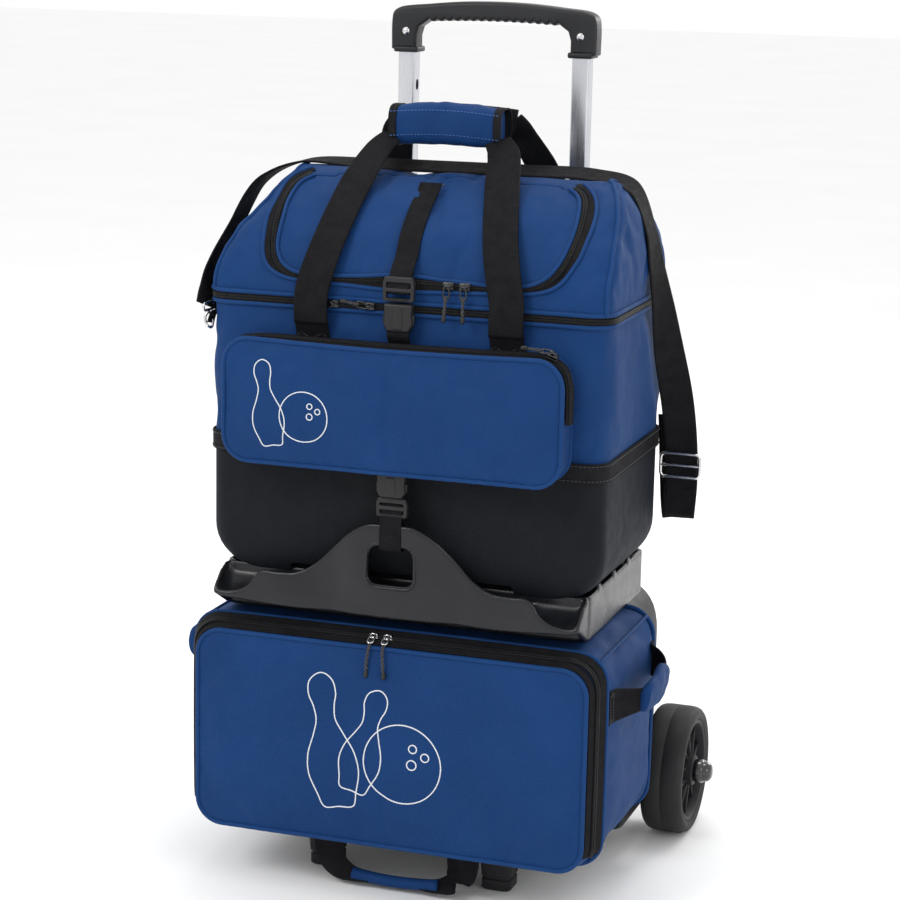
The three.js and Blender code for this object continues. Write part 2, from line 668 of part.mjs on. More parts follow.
function makeShoeFlap() {
  return part('shoe_flap', cut(common(dome(0), flapPrism(0)), dome(LID_WALL)), blueFabric());
}

function makeMainZipper() {
  const low = TOTE_RIM + RUN_GAP;
  const back = LID_HINGE_Y - 0.5;
  const ring = (inset) => roundedRect(inset - 226, inset - 97, 226 - inset, back - inset, 20 - inset);
  const outer = prismZ(ring(0), low, TOTE_RIM + ZIPPER_HEIGHT + 0.5, 4);
  const hollow = prismZ(ring(7), low - 1, TOTE_RIM + ZIPPER_HEIGHT + 2, 4);
  return part('main_zipper', cut(outer, hollow), blackWeb());
}

function makeLidStrap() {
  const route = [[0, 4, 777], [0, -20, 769], [0, -72, 723], [0, -97, 694], [0, -104, 674]];
  return part('lid_strap', ribbon(route, NARROW_WEB, 2, [1, 0, 0], 12), blackWeb());
}

function makePlug(name, z0, z1, front, back) {
  const body = boxBetween([-17, front, z0], [17, back, z1]);
  const slot = boxBetween([-13, front - 1, z1 - 10], [13, back + 1, z1 - 5]);
  return part(name, cut(body, slot), buckleNylon());
}

// ---- carry loops ----
const FRONT_WEB = [
  [108, -107, 645], [107.6, -106.8, 664], [99, -99, 693], [88, -78, 725], [74, -26, 775], [62, 22, 812],
  [58, 34, 822],
];
const BACK_WEB = [
  [108, 151, 627], [107, 152, 664], [104, 149, 700], [97, 134, 744], [84, 104, 790], [70, 78, 822],
  [66, 73, 832],
];

function makeFrontTab(side, sign) {
  const web = boxBetween(
    [CARRY_WEB_X - WEB_WIDTH / 2, -108.2, 627], [CARRY_WEB_X + WEB_WIDTH / 2, -105.8, 641]);
  const turned = sign > 0 ? web : web.translate(-2 * CARRY_WEB_X, 0, 0);
  return part(`front_loop_tab_${side}`, turned, blackWeb());
}

function makeFrontLoop() {
  const webs = [FRONT_WEB, mirrorX(FRONT_WEB)].map((route) => ribbon(route, WEB_WIDTH, WEB, [1, 0, 0]));
  const wrap = prismX(roundedRect(22, 808, 68, 857, 14), -CARRY_WRAP_HALF, CARRY_WRAP_HALF, 4);
  return part('front_carry_loop', join(...webs, wrap), blueFabric());
}

function makeBackLoop() {
  const webs = [BACK_WEB, mirrorX(BACK_WEB)].map((route) => ribbon(route, WEB_WIDTH, WEB, [1, 0, 0]));
  const top = boxBetween([-84, 68.6, 826], [84, 74, 850]);
  return part('back_carry_loop', join(...webs, top), blackWeb());
}

// ---- assembly ----
const base = group(
  makeBackShell(),
  makeBasePlate(),
  makeAxle(),
  makeTubeBrace(),
  makeTray(),
  makeTrayStrap(),
  makePlug('tray_buckle', 432, 453, -124, -115),
  ...bothSides(makeOuterTube),
);

const wheels = group(
  ...bothSides(makeTyre),
  ...bothSides(makeHub),
  ...bothSides(makeAxleCap),
);

const pullHandle = group(
  ...bothSides(makeMiddleTube),
  ...bothSides(makeInnerTube),
  ...bothSides(makeRivet),
  makeGrip(),
);

const lowerBag = group(
  makeLowerBody(),
  makeLowerCups(),
  makeBottomHandle(),
  makeLowerPanel(),
  makeSlider('lower_zip_slider_left', -24, PANEL_FRONT - GAP, 280, 0, -1),
  makeSlider('lower_zip_slider_right', -8, PANEL_FRONT - GAP, 280, 0, -1),
  ...bothSides(makeSideHandle),
);

const tote = group(
  makeToteBase(),
  makeToteBody(),
  makeToteBand(),
  makePocket(),
  makeToteCups(),
  makeSocket('socket_lower', 453.5, 480, -127, -114),
  makeSocket('socket_upper', 628, 658, -114, -102),
  makeSlider('pocket_zip_slider', POCKET_HALF - 12, POCKET_FRONT + 14, 620, -1, 0),
  makeSlider('main_zip_slider_left', -76, -97.5, 652, -1, 0),
  makeSlider('main_zip_slider_right', -36, -97.5, 652, -1, 0),
  ...makeStrapRings(),
  makeShoulderStrap(),
  makeStrapAdjuster(),
);

const lid = group(
  makeLidShell(),
  makeMainZipper(),
  makeShoeFlap(),
  makeLidStrap(),
  makePlug('lid_buckle', 660, 686, -114, -105.5),
  makeSlider('flap_zip_slider_left', 50, -97.5, 668, 0, -1),
  makeSlider('flap_zip_slider_right', 68, -97.5, 668, 0, -1),
);

const carryLoops = group(...bothSides(makeFrontTab), makeFrontLoop(), makeBackLoop());

const bag = group(base, wheels, pullHandle, lowerBag, tote, lid, carryLoops);
bag.position.set(0, BAG_Y, 0);

export default group(bag);
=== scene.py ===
import math

import bmesh
import bpy
import numpy as np
from mathutils import Matrix, Vector, noise
from mathutils.bvhtree import BVHTree


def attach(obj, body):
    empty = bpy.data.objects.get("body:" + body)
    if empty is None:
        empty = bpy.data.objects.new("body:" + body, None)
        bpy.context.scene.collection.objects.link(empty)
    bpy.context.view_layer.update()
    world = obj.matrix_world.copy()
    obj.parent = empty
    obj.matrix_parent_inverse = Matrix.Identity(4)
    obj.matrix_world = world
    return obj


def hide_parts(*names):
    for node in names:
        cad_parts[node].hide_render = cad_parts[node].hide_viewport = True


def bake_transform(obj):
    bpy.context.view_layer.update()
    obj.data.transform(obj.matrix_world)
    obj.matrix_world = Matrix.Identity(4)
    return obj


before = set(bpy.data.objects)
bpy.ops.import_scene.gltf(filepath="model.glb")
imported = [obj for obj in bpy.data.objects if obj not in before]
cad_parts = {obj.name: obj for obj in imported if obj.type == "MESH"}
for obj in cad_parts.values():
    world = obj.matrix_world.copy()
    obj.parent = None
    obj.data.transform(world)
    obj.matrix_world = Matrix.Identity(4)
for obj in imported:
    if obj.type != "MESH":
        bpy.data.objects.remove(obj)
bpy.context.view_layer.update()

# Driving dimensions, in millimetres of the bag's own frame.
BAG_Y = -79.0  # the lower bag's middle, from the row frame's origin
AXLE_Y, AXLE_Z = 220, 75
TUBE_X, TUBE_Y = 103, 198.7
LOCK_HOLE_Z = 862
LOWER_CORNER, FACE_CORNER, TOTE_CORNER = 30, 28, 24
SHELL_FRONT, SHELL_BACK, SHELL_WALL = 98.5, 236, 4
TUB_CURVE = 50  # the radius of the tub's lower side corners


# ---------------------------------------------------------------- materials
class Nodes:
    """A material's node tree with short calls for adding nodes and links."""

    def __init__(self, name):
        self.material = bpy.data.materials.new(name)
        self.material.use_nodes = True
        self.tree = self.material.node_tree
        self.shader = self.tree.nodes["Principled BSDF"]
        self.coordinates = None

    def add(self, kind, **settings):
        node = self.tree.nodes.new(kind)
        for key, value in settings.items():
            setattr(node, key, value)
        return node

    def link(self, source, target):
        self.tree.links.new(source, target)

    def object_coordinates(self):
        if self.coordinates is None:
            self.coordinates = self.add("ShaderNodeTexCoord").outputs["Object"]
        return self.coordinates

    def math(self, operation, first, second=None):
        node = self.add("ShaderNodeMath", operation=operation)
        for socket, value in zip(node.inputs, (first, second)):
            if value is None:
                continue
            if isinstance(value, (int, float)):
                socket.default_value = value
            else:
                self.link(value, socket)
        return node.outputs[0]

    def noise(self, scale, detail=3.0, stretch=None, roughness=0.55):
        vector = self.object_coordinates()
        if stretch:
            mapping = self.add("ShaderNodeMapping")
            mapping.inputs["Scale"].default_value = stretch
            self.link(vector, mapping.inputs["Vector"])
            vector = mapping.outputs[0]
        node = self.add("ShaderNodeTexNoise")
        node.inputs["Scale"].default_value = scale
        node.inputs["Detail"].default_value = detail
        node.inputs["Roughness"].default_value = roughness
        self.link(vector, node.inputs["Vector"])
        return node.outputs["Fac"]

    def ramp(self, value, low, high, start=0.0, end=1.0):
        node = self.add("ShaderNodeMapRange")
        node.inputs["From Min"].default_value = start
        node.inputs["From Max"].default_value = end
        node.inputs["To Min"].default_value = low
        node.inputs["To Max"].default_value = high
        self.link(value, node.inputs["Value"])
        return node.outputs[0]

    def color(self, value, dark, light, start=0.3, end=0.7):
        node = self.add("ShaderNodeValToRGB")
        node.color_ramp.elements[0].position = start
        node.color_ramp.elements[0].color = (*dark, 1)
        node.color_ramp.elements[1].position = end
        node.color_ramp.elements[1].color = (*light, 1)
        self.link(value, node.inputs["Fac"])
        self.link(node.outputs["Color"], self.shader.inputs["Base Color"])
        return node

    def roughness(self, value, low, high):
        self.link(self.ramp(value, low, high, 0.25, 0.75), self.shader.inputs["Roughness"])

    def bumps(self, *layers):
        """Each layer is (height output, depth in millimetres); the layers stack up."""
        normal = None
        for height, depth in layers:
            bump = self.add("ShaderNodeBump")
            bump.inputs["Strength"].default_value = 1.0
            bump.inputs["Distance"].default_value = depth / 1000
            self.link(height, bump.inputs["Height"])
            if normal is not None:
                self.link(normal, bump.inputs["Normal"])
            normal = bump.outputs["Normal"]
        self.link(normal, self.shader.inputs["Normal"])

    def sheen(self, weight, tint=(1, 1, 1)):
        self.shader.inputs["Sheen Weight"].default_value = weight
        self.shader.inputs["Sheen Roughness"].default_value = 0.45
        self.shader.inputs["Sheen Tint"].default_value = (*tint, 1)

    def weave(self, pitch):
        """A plain basket weave on whichever two axes the surface faces least, as a height from 0 to 1."""
        position = self.add("ShaderNodeSeparateXYZ")
        self.link(self.object_coordinates(), position.inputs[0])
        facing = self.add("ShaderNodeSeparateXYZ")
        self.link(self.add("ShaderNodeNewGeometry").outputs["True Normal"], facing.inputs[0])
        waves = []
        for axis in range(3):
            turn = self.math("MULTIPLY", position.outputs[axis], math.pi * 1000 / pitch)
            waves.append(self.math("SINE", turn))
        total = None
        for axis in range(3):
            first, second = [waves[k] for k in range(3) if k != axis]
            crossing = self.math("MULTIPLY", first, second)
            share = self.math("POWER", self.math("ABSOLUTE", facing.outputs[axis]), 4.0)
            term = self.math("MULTIPLY", crossing, share)
            total = term if total is None else self.math("ADD", total, term)
        return self.ramp(total, 0.0, 1.0, -0.8, 0.8)

    def strap_coordinates(self):
        """Metres across and along a strap, from its UV map."""
        node = self.add("ShaderNodeUVMap", uv_map="run")
        parts = self.add("ShaderNodeSeparateXYZ")
        self.link(node.outputs["UV"], parts.inputs[0])
        return parts.outputs[0], parts.outputs[1]

    def stripes(self, coordinate, pitch):
        turn = self.math("MULTIPLY", coordinate, math.pi * 1000 / pitch)
        return self.math("ABSOLUTE", self.math("SINE", turn))


def fabric(name, dark, light, pitch=1.5, depth=0.22, specular=0.13):
    n = Nodes(name)
    weave = n.weave(pitch)
    cloud = n.noise(9, 4)
    fibre = n.noise(900, 2)
    mixed = n.math("ADD", n.math("MULTIPLY", weave, 0.45), n.math("MULTIPLY", cloud, 0.55))
    n.color(mixed, dark, light, 0.25, 0.72)
    n.roughness(n.noise(60, 3), 0.62, 0.78)
    n.bumps((n.noise(55, 4), 0.5), (fibre, 0.12), (weave, depth))
    n.sheen(0.03, (0.5, 0.7, 1.0))
    n.shader.inputs["Specular IOR Level"].default_value = specular
    return n.material


def webbing(name, dark, light, pitch=1.9):
    n = Nodes(name)
    across, along = n.strap_coordinates()
    ribs = n.stripes(along, pitch)
    columns = n.stripes(across, 3.1)
    pattern = n.math("ADD", n.math("MULTIPLY", ribs, 0.7), n.math("MULTIPLY", columns, 0.3))
    mixed = n.math("ADD", n.math("MULTIPLY", pattern, 0.5), n.math("MULTIPLY", n.noise(70, 4), 0.5))
    n.color(mixed, dark, light, 0.25, 0.8)
    n.roughness(n.noise(120, 3), 0.55, 0.75)
    n.bumps((n.noise(700, 2), 0.1), (pattern, 0.45))
    n.shader.inputs["Specular IOR Level"].default_value = 0.06
    return n.material


def moulded(name, dark, light, rough=(0.42, 0.56), grain=900.0, depth=0.08, coat=0.0, specular=0.28):
    n = Nodes(name)
    n.color(n.noise(14, 5), dark, light)
    n.roughness(n.noise(45, 5), *rough)
    cells = n.add("ShaderNodeTexVoronoi")
    cells.inputs["Scale"].default_value = grain
    n.link(n.object_coordinates(), cells.inputs["Vector"])
    n.bumps((n.noise(25, 3), 0.25), (cells.outputs["Distance"], depth))
    n.shader.inputs["Coat Weight"].default_value = coat
    n.shader.inputs["Specular IOR Level"].default_value = specular
    return n.material


def metal(name, dark, light, rough=(0.2, 0.34), stretch=None, depth=0.02):
    n = Nodes(name)
    n.shader.inputs["Metallic"].default_value = 1.0
    streaks = n.noise(900, 4, stretch)
    n.color(n.noise(12, 3), dark, light)
    n.roughness(streaks, *rough)
    n.bumps((streaks, depth))
    return n.material


def thread(name, dark, light):
    n = Nodes(name)
    n.color(n.noise(1500, 2), dark, light)
    n.roughness(n.noise(800, 2), 0.5, 0.7)
    n.bumps((n.noise(1800, 2), 0.15))
    n.sheen(0.2)
    return n.material


BLUE = fabric("blue_fabric", (0.0030, 0.0245, 0.096), (0.0060, 0.0410, 0.150))
BLUE_PIPING = fabric("blue_piping", (0.0040, 0.0280, 0.105), (0.0075, 0.0450, 0.160), 1.0, 0.12)
WEB = webbing("black_webbing", (0.0025, 0.0025, 0.003), (0.0125, 0.0125, 0.0145))
BINDING = webbing("black_binding", (0.005, 0.005, 0.006), (0.018, 0.018, 0.021), 1.2)
TAPE = webbing("zip_tape", (0.0045, 0.0045, 0.005), (0.015, 0.015, 0.017), 1.0)
COIL = moulded("zip_coil", (0.006, 0.006, 0.007), (0.014, 0.014, 0.016), (0.3, 0.42))
MOULD = moulded("black_mould", (0.009, 0.0095, 0.011), (0.016, 0.0165, 0.019), (0.46, 0.6), 1100, 0.1)
GRIP = moulded("grip_mould", (0.010, 0.0105, 0.012), (0.018, 0.019, 0.021), (0.36, 0.48), 1300, 0.06)
TRAY = moulded("tray_plastic", (0.005, 0.0053, 0.007), (0.010, 0.0105, 0.013), (0.24, 0.36), 700, 0.08, 0,
               0.34)
BUCKLE = moulded("buckle_nylon", (0.010, 0.010, 0.011), (0.02, 0.02, 0.022), (0.34, 0.46), 1500, 0.04)
GLOSS = moulded("cap_gloss", (0.006, 0.006, 0.007), (0.01, 0.01, 0.011), (0.1, 0.16), 1500, 0.02, 0.6, 0.5)
RUBBER = moulded("tyre_rubber", (0.010, 0.010, 0.011), (0.019, 0.019, 0.02), (0.55, 0.7), 1000, 0.08)
ALUMINIUM = metal("aluminium", (0.52, 0.53, 0.56), (0.64, 0.65, 0.68), (0.24, 0.34), (1, 1, 0.02))
DARK_METAL = metal("dark_nickel", (0.035, 0.035, 0.037), (0.075, 0.075, 0.078), (0.22, 0.34))
NICKEL = metal("nickel", (0.50, 0.50, 0.51), (0.68, 0.68, 0.69), (0.14, 0.24))
FOAM = moulded("foam", (0.03, 0.031, 0.033), (0.055, 0.056, 0.06), (0.85, 0.95), 500, 0.4, 0, 0.1)
BASE = fabric("base_cloth", (0.0045, 0.0050, 0.0070), (0.0090, 0.0098, 0.0125), 1.3, 0.16, 0.12)
LINING = fabric("lining", (0.008, 0.008, 0.009), (0.014, 0.014, 0.016), 1.2, 0.1, 0.1)
WHITE_THREAD = thread("white_thread", (0.55, 0.57, 0.6), (0.75, 0.77, 0.8))
BLUE_THREAD = thread("blue_thread", (0.02, 0.08, 0.28), (0.035, 0.12, 0.36))
BLACK_THREAD = thread("black_thread", (0.02, 0.02, 0.023), (0.04, 0.04, 0.045))
CORD = thread("braided_cord", (0.01, 0.01, 0.012), (0.03, 0.03, 0.034))


# ---------------------------------------------------------------- camera, light and floor
def place_camera():
    right = Vector((0.94552, 0.32557, 0.0))
    up = Vector((-0.07185, 0.20866, 0.97535))
    back = right.cross(up).normalized()
    roll = math.radians(1.126)
    turned_right = (right * math.cos(roll) + up * math.sin(roll)).normalized()
    turned_up = back.cross(turned_right)
    camera = bpy.data.cameras.new("camera")
    camera.sensor_width = 36.0
    camera.lens = 101.1
    camera.shift_x = 0.0227
    camera.shift_y = 0.0308
    camera.clip_end = 50.0
    holder = bpy.data.objects.new("camera", camera)
    holder.matrix_world = Matrix((
        (turned_right.x, turned_up.x, back.x, 0.881),
        (turned_right.y, turned_up.y, back.y, -2.638),
        (turned_right.z, turned_up.z, back.z, 1.062),
        (0, 0, 0, 1),
    ))
    bpy.context.scene.collection.objects.link(holder)
    bpy.context.scene.camera = holder


def area_light(name, place, target, size, power, tint=(1, 1, 1)):
    lamp = bpy.data.lights.new(name, "AREA")
    lamp.shape = "DISK"
    lamp.size = size
    lamp.energy = power
    lamp.color = tint
    holder = bpy.data.objects.new(name, lamp)
    holder.location = place
    holder.rotation_euler = (Vector(target) - Vector(place)).to_track_quat("-Z", "Y").to_euler()
    bpy.context.scene.collection.objects.link(holder)


def make_studio():
    world = bpy.data.worlds.new("studio")
    world.use_nodes = True
    world.node_tree.nodes["Background"].inputs["Color"].default_value = (1, 1, 1, 1)
    world.node_tree.nodes["Background"].inputs["Strength"].default_value = 1.0
    bpy.context.scene.world = world
    bpy.context.scene.view_settings.view_transform = "Standard"
    area_light("key", (-1.6, -2.6, 2.7), (0, 0, 0.45), 1.5, 46)
    area_light("fill", (2.8, -1.6, 1.5), (0, 0, 0.4), 1.6, 14)
    area_light("top", (0.1, 0.6, 3.2), (0, 0, 0.5), 1.6, 26)
    area_light("rim", (1.2, 2.6, 1.6), (0, 0, 0.6), 1.2, 24)
    floor_finish = Nodes("floor")
    floor_finish.color(floor_finish.noise(2, 2), (0.93, 0.93, 0.93), (0.95, 0.95, 0.95))
    floor_finish.shader.inputs["Roughness"].default_value = 0.9
    bpy.ops.mesh.primitive_plane_add(size=40, location=(0, 0, -0.0005))
    floor = bpy.context.object
    floor.name = "floor"
    floor.data.materials.append(floor_finish.material)


place_camera()
make_studio()


# ---------------------------------------------------------------- mesh helpers
def build(name, points, faces, material, uvs=None, smooth=True):
    """A mesh object from points in millimetres of the bag's frame."""
    data = bpy.data.meshes.new(name)
    metres = np.asarray(points, float) / 1000 + (0, BAG_Y / 1000, 0)
    data.from_pydata(metres.tolist(), [], [list(map(int, f)) for f in faces])
    data.materials.append(material)
    data.polygons.foreach_set("use_smooth", [smooth] * len(data.polygons))
    if uvs is not None:
        corners = np.empty(len(data.loops), np.int32)
        data.loops.foreach_get("vertex_index", corners)
        layer = data.uv_layers.new(name="run")
        layer.data.foreach_set("uv", np.asarray(uvs, float)[corners].ravel())
    thing = bpy.data.objects.new(name, data)
    bpy.context.scene.collection.objects.link(thing)
    return thing


def millimetres(thing):
    """The object's vertices in millimetres of the bag's frame."""
    flat = np.empty(len(thing.data.vertices) * 3)
    thing.data.vertices.foreach_get("co", flat)
    return flat.reshape(-1, 3) * 1000 - (0, BAG_Y, 0)


def set_millimetres(thing, points):
    metres = np.asarray(points, float) / 1000 + (0, BAG_Y / 1000, 0)
    thing.data.vertices.foreach_set("co", metres.ravel())
    thing.data.update()


def apply_modifiers(thing):
    bpy.context.view_layer.update()
    graph = bpy.context.evaluated_depsgraph_get()
    mesh = bpy.data.meshes.new_from_object(thing.evaluated_get(graph))
    thing.modifiers.clear()
    thing.data = mesh
    return thing


def with_modifier(thing, kind, **settings):
    modifier = thing.modifiers.new(kind.lower(), kind)
    for key, value in settings.items():
        setattr(modifier, key, value)
    return apply_modifiers(thing)


def subdivided(thing, levels=1):
    return with_modifier(thing, "SUBSURF", levels=levels, render_levels=levels)


def join(name, things):
    """Several objects as one, with each part's material kept."""
    with bpy.context.temp_override(active_object=things[0], object=things[0],
                                   selected_objects=things, selected_editable_objects=things):
        bpy.ops.object.join()
    things[0].name = name
    things[0].data.name = name
    return things[0]


def place(thing, body, slot, *nodes):
    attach(thing, body)
    if nodes:
        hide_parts(*nodes)
    return thing


def smooth_curve(points, step=4.0, closed=False):
    """Evenly spaced points on a centripetal Catmull-Rom curve, and each control point's place on it."""
    control = np.asarray(points, float)
    if closed:
        around = np.vstack([control[-1], control, control[0], control[1]])
    else:
        around = np.vstack([2 * control[0] - control[1], control, 2 * control[-1] - control[-2]])
    dense, marks = [], [0]
    for i in range(1, len(around) - 2):
        p0, p1, p2, p3 = around[i - 1:i + 3]
        t0 = 0.0
        t1 = t0 + max(np.linalg.norm(p1 - p0), 1e-6) ** 0.5
        t2 = t1 + max(np.linalg.norm(p2 - p1), 1e-6) ** 0.5
        t3 = t2 + max(np.linalg.norm(p3 - p2), 1e-6) ** 0.5
        t = np.linspace(t1, t2, 17)[:-1, None]
        a1 = (t1 - t) / (t1 - t0) * p0 + (t - t0) / (t1 - t0) * p1
        a2 = (t2 - t) / (t2 - t1) * p1 + (t - t1) / (t2 - t1) * p2
        a3 = (t3 - t) / (t3 - t2) * p2 + (t - t2) / (t3 - t2) * p3
        b1 = (t2 - t) / (t2 - t0) * a1 + (t - t0) / (t2 - t0) * a2
        b2 = (t3 - t) / (t3 - t1) * a2 + (t - t1) / (t3 - t1) * a3
        dense.extend((t2 - t) / (t2 - t1) * b1 + (t - t1) / (t2 - t1) * b2)
        marks.append(len(dense))
    dense.append(around[-2])
    dense = np.array(dense)
    run = np.concatenate([[0], np.cumsum(np.linalg.norm(np.diff(dense, axis=0), axis=1))])
    count = max(2, int(round(run[-1] / step)) + 1)
    even = np.linspace(0, run[-1], count)
    out = np.stack([np.interp(even, run, dense[:, k]) for k in range(3)], axis=1)
    if closed:
        out, even = out[:-1], even[:-1]
    return out, even, run[np.minimum(marks, len(run) - 1)]


def tangents(path, closed=False):
    if closed:
        d = np.roll(path, -1, axis=0) - np.roll(path, 1, axis=0)
    else:
        d = np.gradient(path, axis=0)
    return d / np.maximum(np.linalg.norm(d, axis=1, keepdims=True), 1e-9)


def unit(vectors):
    return vectors / np.maximum(np.linalg.norm(vectors, axis=-1, keepdims=True), 1e-9)


def tube_faces(rings, around, closed):
    faces = []
    for i in range(rings if closed else rings - 1):
        j = (i + 1) % rings
        for k in range(around):
            m = (k + 1) % around
            faces.append((i * around + k, j * around + k, j * around + m, i * around + m))
    if not closed:
        faces.append(tuple(range(around)))
        faces.append(tuple((rings - 1) * around + k for k in range(around))[::-1])
    return faces


def recalculated(thing):
    """Faces turned outwards."""
    mesh = bmesh.new()
    mesh.from_mesh(thing.data)
    bmesh.ops.recalc_face_normals(mesh, faces=mesh.faces)
    mesh.to_mesh(thing.data)
    mesh.free()
    return thing


def sweep(name, points, radius, material, sides=8, step=4.0, closed=False, raw=False):
    """A round cord along a curve."""
    path = np.asarray(points, float) if raw else smooth_curve(points, step, closed)[0]
    along = tangents(path, closed)
    side = np.zeros_like(path)
    start = np.cross(along[0], (0.0, 0.0, 1.0) if abs(along[0][2]) < 0.9 else (1.0, 0.0, 0.0))
    side[0] = start / np.linalg.norm(start)
    for i in range(1, len(path)):
        kept = side[i - 1] - along[i] * side[i - 1].dot(along[i])
        side[i] = kept / max(np.linalg.norm(kept), 1e-9)
    up = np.cross(along, side)
    angles = np.arange(sides) * 2 * math.pi / sides
    ring = path[:, None] + radius * (np.cos(angles)[None, :, None] * side[:, None]
                                     + np.sin(angles)[None, :, None] * up[:, None])
    run = np.concatenate([[0], np.cumsum(np.linalg.norm(np.diff(path, axis=0), axis=1))])
    uvs = np.stack([np.tile(angles * radius, len(path)), np.repeat(run, sides)], axis=1) / 1000
    return recalculated(build(name, ring.reshape(-1, 3), tube_faces(len(path), sides, closed), material,
                              uvs))


def strap(name, route, width, thickness, across, material, step=4.0, closed=False, sag=None):
    """Flat webbing along a route. Width and across may be given for each point of the route."""
    path, even, marks = smooth_curve(route, step, closed)
    count = len(route)
    marks = marks[:count]
    widths = np.interp(even, marks, width if hasattr(width, "__len__") else [width] * count)
    directions = across if hasattr(across[0], "__len__") else [across] * count
    wide = np.stack([np.interp(even, marks, [d[k] for d in directions]) for k in range(3)], axis=1)
    along = tangents(path, closed)
    side = unit(wide - along * np.sum(wide * along, axis=1, keepdims=True))
    up = np.cross(along, side)
    half = thickness / 2
    section = [(-0.5, 0), (-0.485, 0.8), (-0.44, 1.15), (-0.38, 1), (0, 1), (0.38, 1), (0.44, 1.15),
               (0.485, 0.8), (0.5, 0), (0.485, -0.8), (0.44, -1.15), (0.38, -1), (0, -1), (-0.38, -1),
               (-0.44, -1.15), (-0.485, -0.8)]
    ring = np.stack([path + side * (s * widths)[:, None] + up * (h * half) for s, h in section], axis=1)
    if sag is not None:
        ring += sag(ring)
    u = np.array([s for s, _ in section])
    uvs = np.stack([(u[None, :] * widths[:, None]).ravel(), np.repeat(even, len(section))], axis=1) / 1000
    faces = tube_faces(len(path), len(section), closed)
    return recalculated(build(name, ring.reshape(-1, 3), faces, material, uvs))


def piping(name, path, radius, body, step=4.0, closed=True):
    """A round of blue piping on a body."""
    return place(sweep(name, path, radius, BLUE_PIPING, 10, step, closed=closed), body, "blue_fabric")


def rows_of_pegs(name, path, directions, lengths, radius, material, sides=5):
    """Small round-ended pegs, one at each point: stitches, or the teeth of a zip's coil."""
    path = np.asarray(path, float)
    directions = unit(np.asarray(directions, float))
    helper = np.where(np.abs(directions[:, 2:3]) < 0.9, [[0.0, 0.0, 1.0]], [[1.0, 0.0, 0.0]])
    side = unit(np.cross(directions, helper))
    up = np.cross(directions, side)
    reach = np.asarray(lengths, float).reshape(-1, 1) / 2 if hasattr(lengths, "__len__") else lengths / 2
    angles = np.arange(sides) * 2 * math.pi / sides
    points = [path - directions * reach]
    for end in (-0.8, 0.8):
        for a in angles:
            points.append(path + directions * reach * end + radius * (math.cos(a) * side + math.sin(a) * up))
    points.append(path + directions * reach)
    points = np.stack(points, axis=1)
    per = 2 + 2 * sides
    one = []
    for k in range(sides):
        m = (k + 1) % sides
        one.append((0, 1 + m, 1 + k))
        one.append((1 + k, 1 + m, 1 + sides + m, 1 + sides + k))
        one.append((per - 1, 1 + sides + k, 1 + sides + m))
    faces = [tuple(i * per + v for v in face) for i in range(len(path)) for face in one]
    return build(name, points.reshape(-1, 3), faces, material)


def stitches(name, points, normals, material, pitch=4.2, length=3.0, radius=0.42, closed=False):
    """A row of stitches just proud of the surface under the path."""
    path, even, marks = smooth_curve(points, pitch, closed)
    count = len(points)
    facing = normals if hasattr(normals[0], "__len__") else [normals] * count
    out = unit(np.stack([np.interp(even, marks[:count], [n[k] for n in facing]) for k in range(3)], axis=1))
    return rows_of_pegs(name, path + out * 0.15, tangents(path, closed), length, radius, material)


def ring_of(shape, z):
    return [(x, y, z) for x, y in shape]


def rounded_ring(x0, y0, x1, y1, radius, side_x=24, side_y=16, corner=6):
    """Points round a rounded rectangle, anticlockwise from the front left: as many for any size."""
    points = []
    for k in range(side_x):
        points.append((x0 + radius + (x1 - x0 - 2 * radius) * k / side_x, y0))
    for k in range(corner):
        a = -math.pi / 2 + math.pi / 2 * k / corner
        points.append((x1 - radius + radius * math.cos(a), y0 + radius + radius * math.sin(a)))
    for k in range(side_y):
        points.append((x1, y0 + radius + (y1 - y0 - 2 * radius) * k / side_y))
    for k in range(corner):
        a = math.pi / 2 * k / corner
        points.append((x1 - radius + radius * math.cos(a), y1 - radius + radius * math.sin(a)))
    for k in range(side_x):
        points.append((x1 - radius - (x1 - x0 - 2 * radius) * k / side_x, y1))
    for k in range(corner):
        a = math.pi / 2 + math.pi / 2 * k / corner
        points.append((x0 + radius + radius * math.cos(a), y1 - radius + radius * math.sin(a)))
    for k in range(side_y):
        points.append((x0, y1 - radius - (y1 - y0 - 2 * radius) * k / side_y))
    for k in range(corner):
        a = math.pi + math.pi / 2 * k / corner
        points.append((x0 + radius + radius * math.cos(a), y0 + radius + radius * math.sin(a)))
    return points


def loft(name, rings, material, cap_start=True, cap_end=True, uvs=None):
    """A skin over rings that all have the same number of points."""
    around = len(rings[0])
    points = np.array(rings, float).reshape(-1, 3)
    faces = []
    for i in range(len(rings) - 1):
        for k in range(around):
            m = (k + 1) % around
            faces.append((i * around + k, i * around + m, (i + 1) * around + m, (i + 1) * around + k))
    if cap_start:
        faces.append(tuple(range(around))[::-1])
    if cap_end:
        faces.append(tuple((len(rings) - 1) * around + k for k in range(around)))
    return build(name, points, faces, material, uvs)


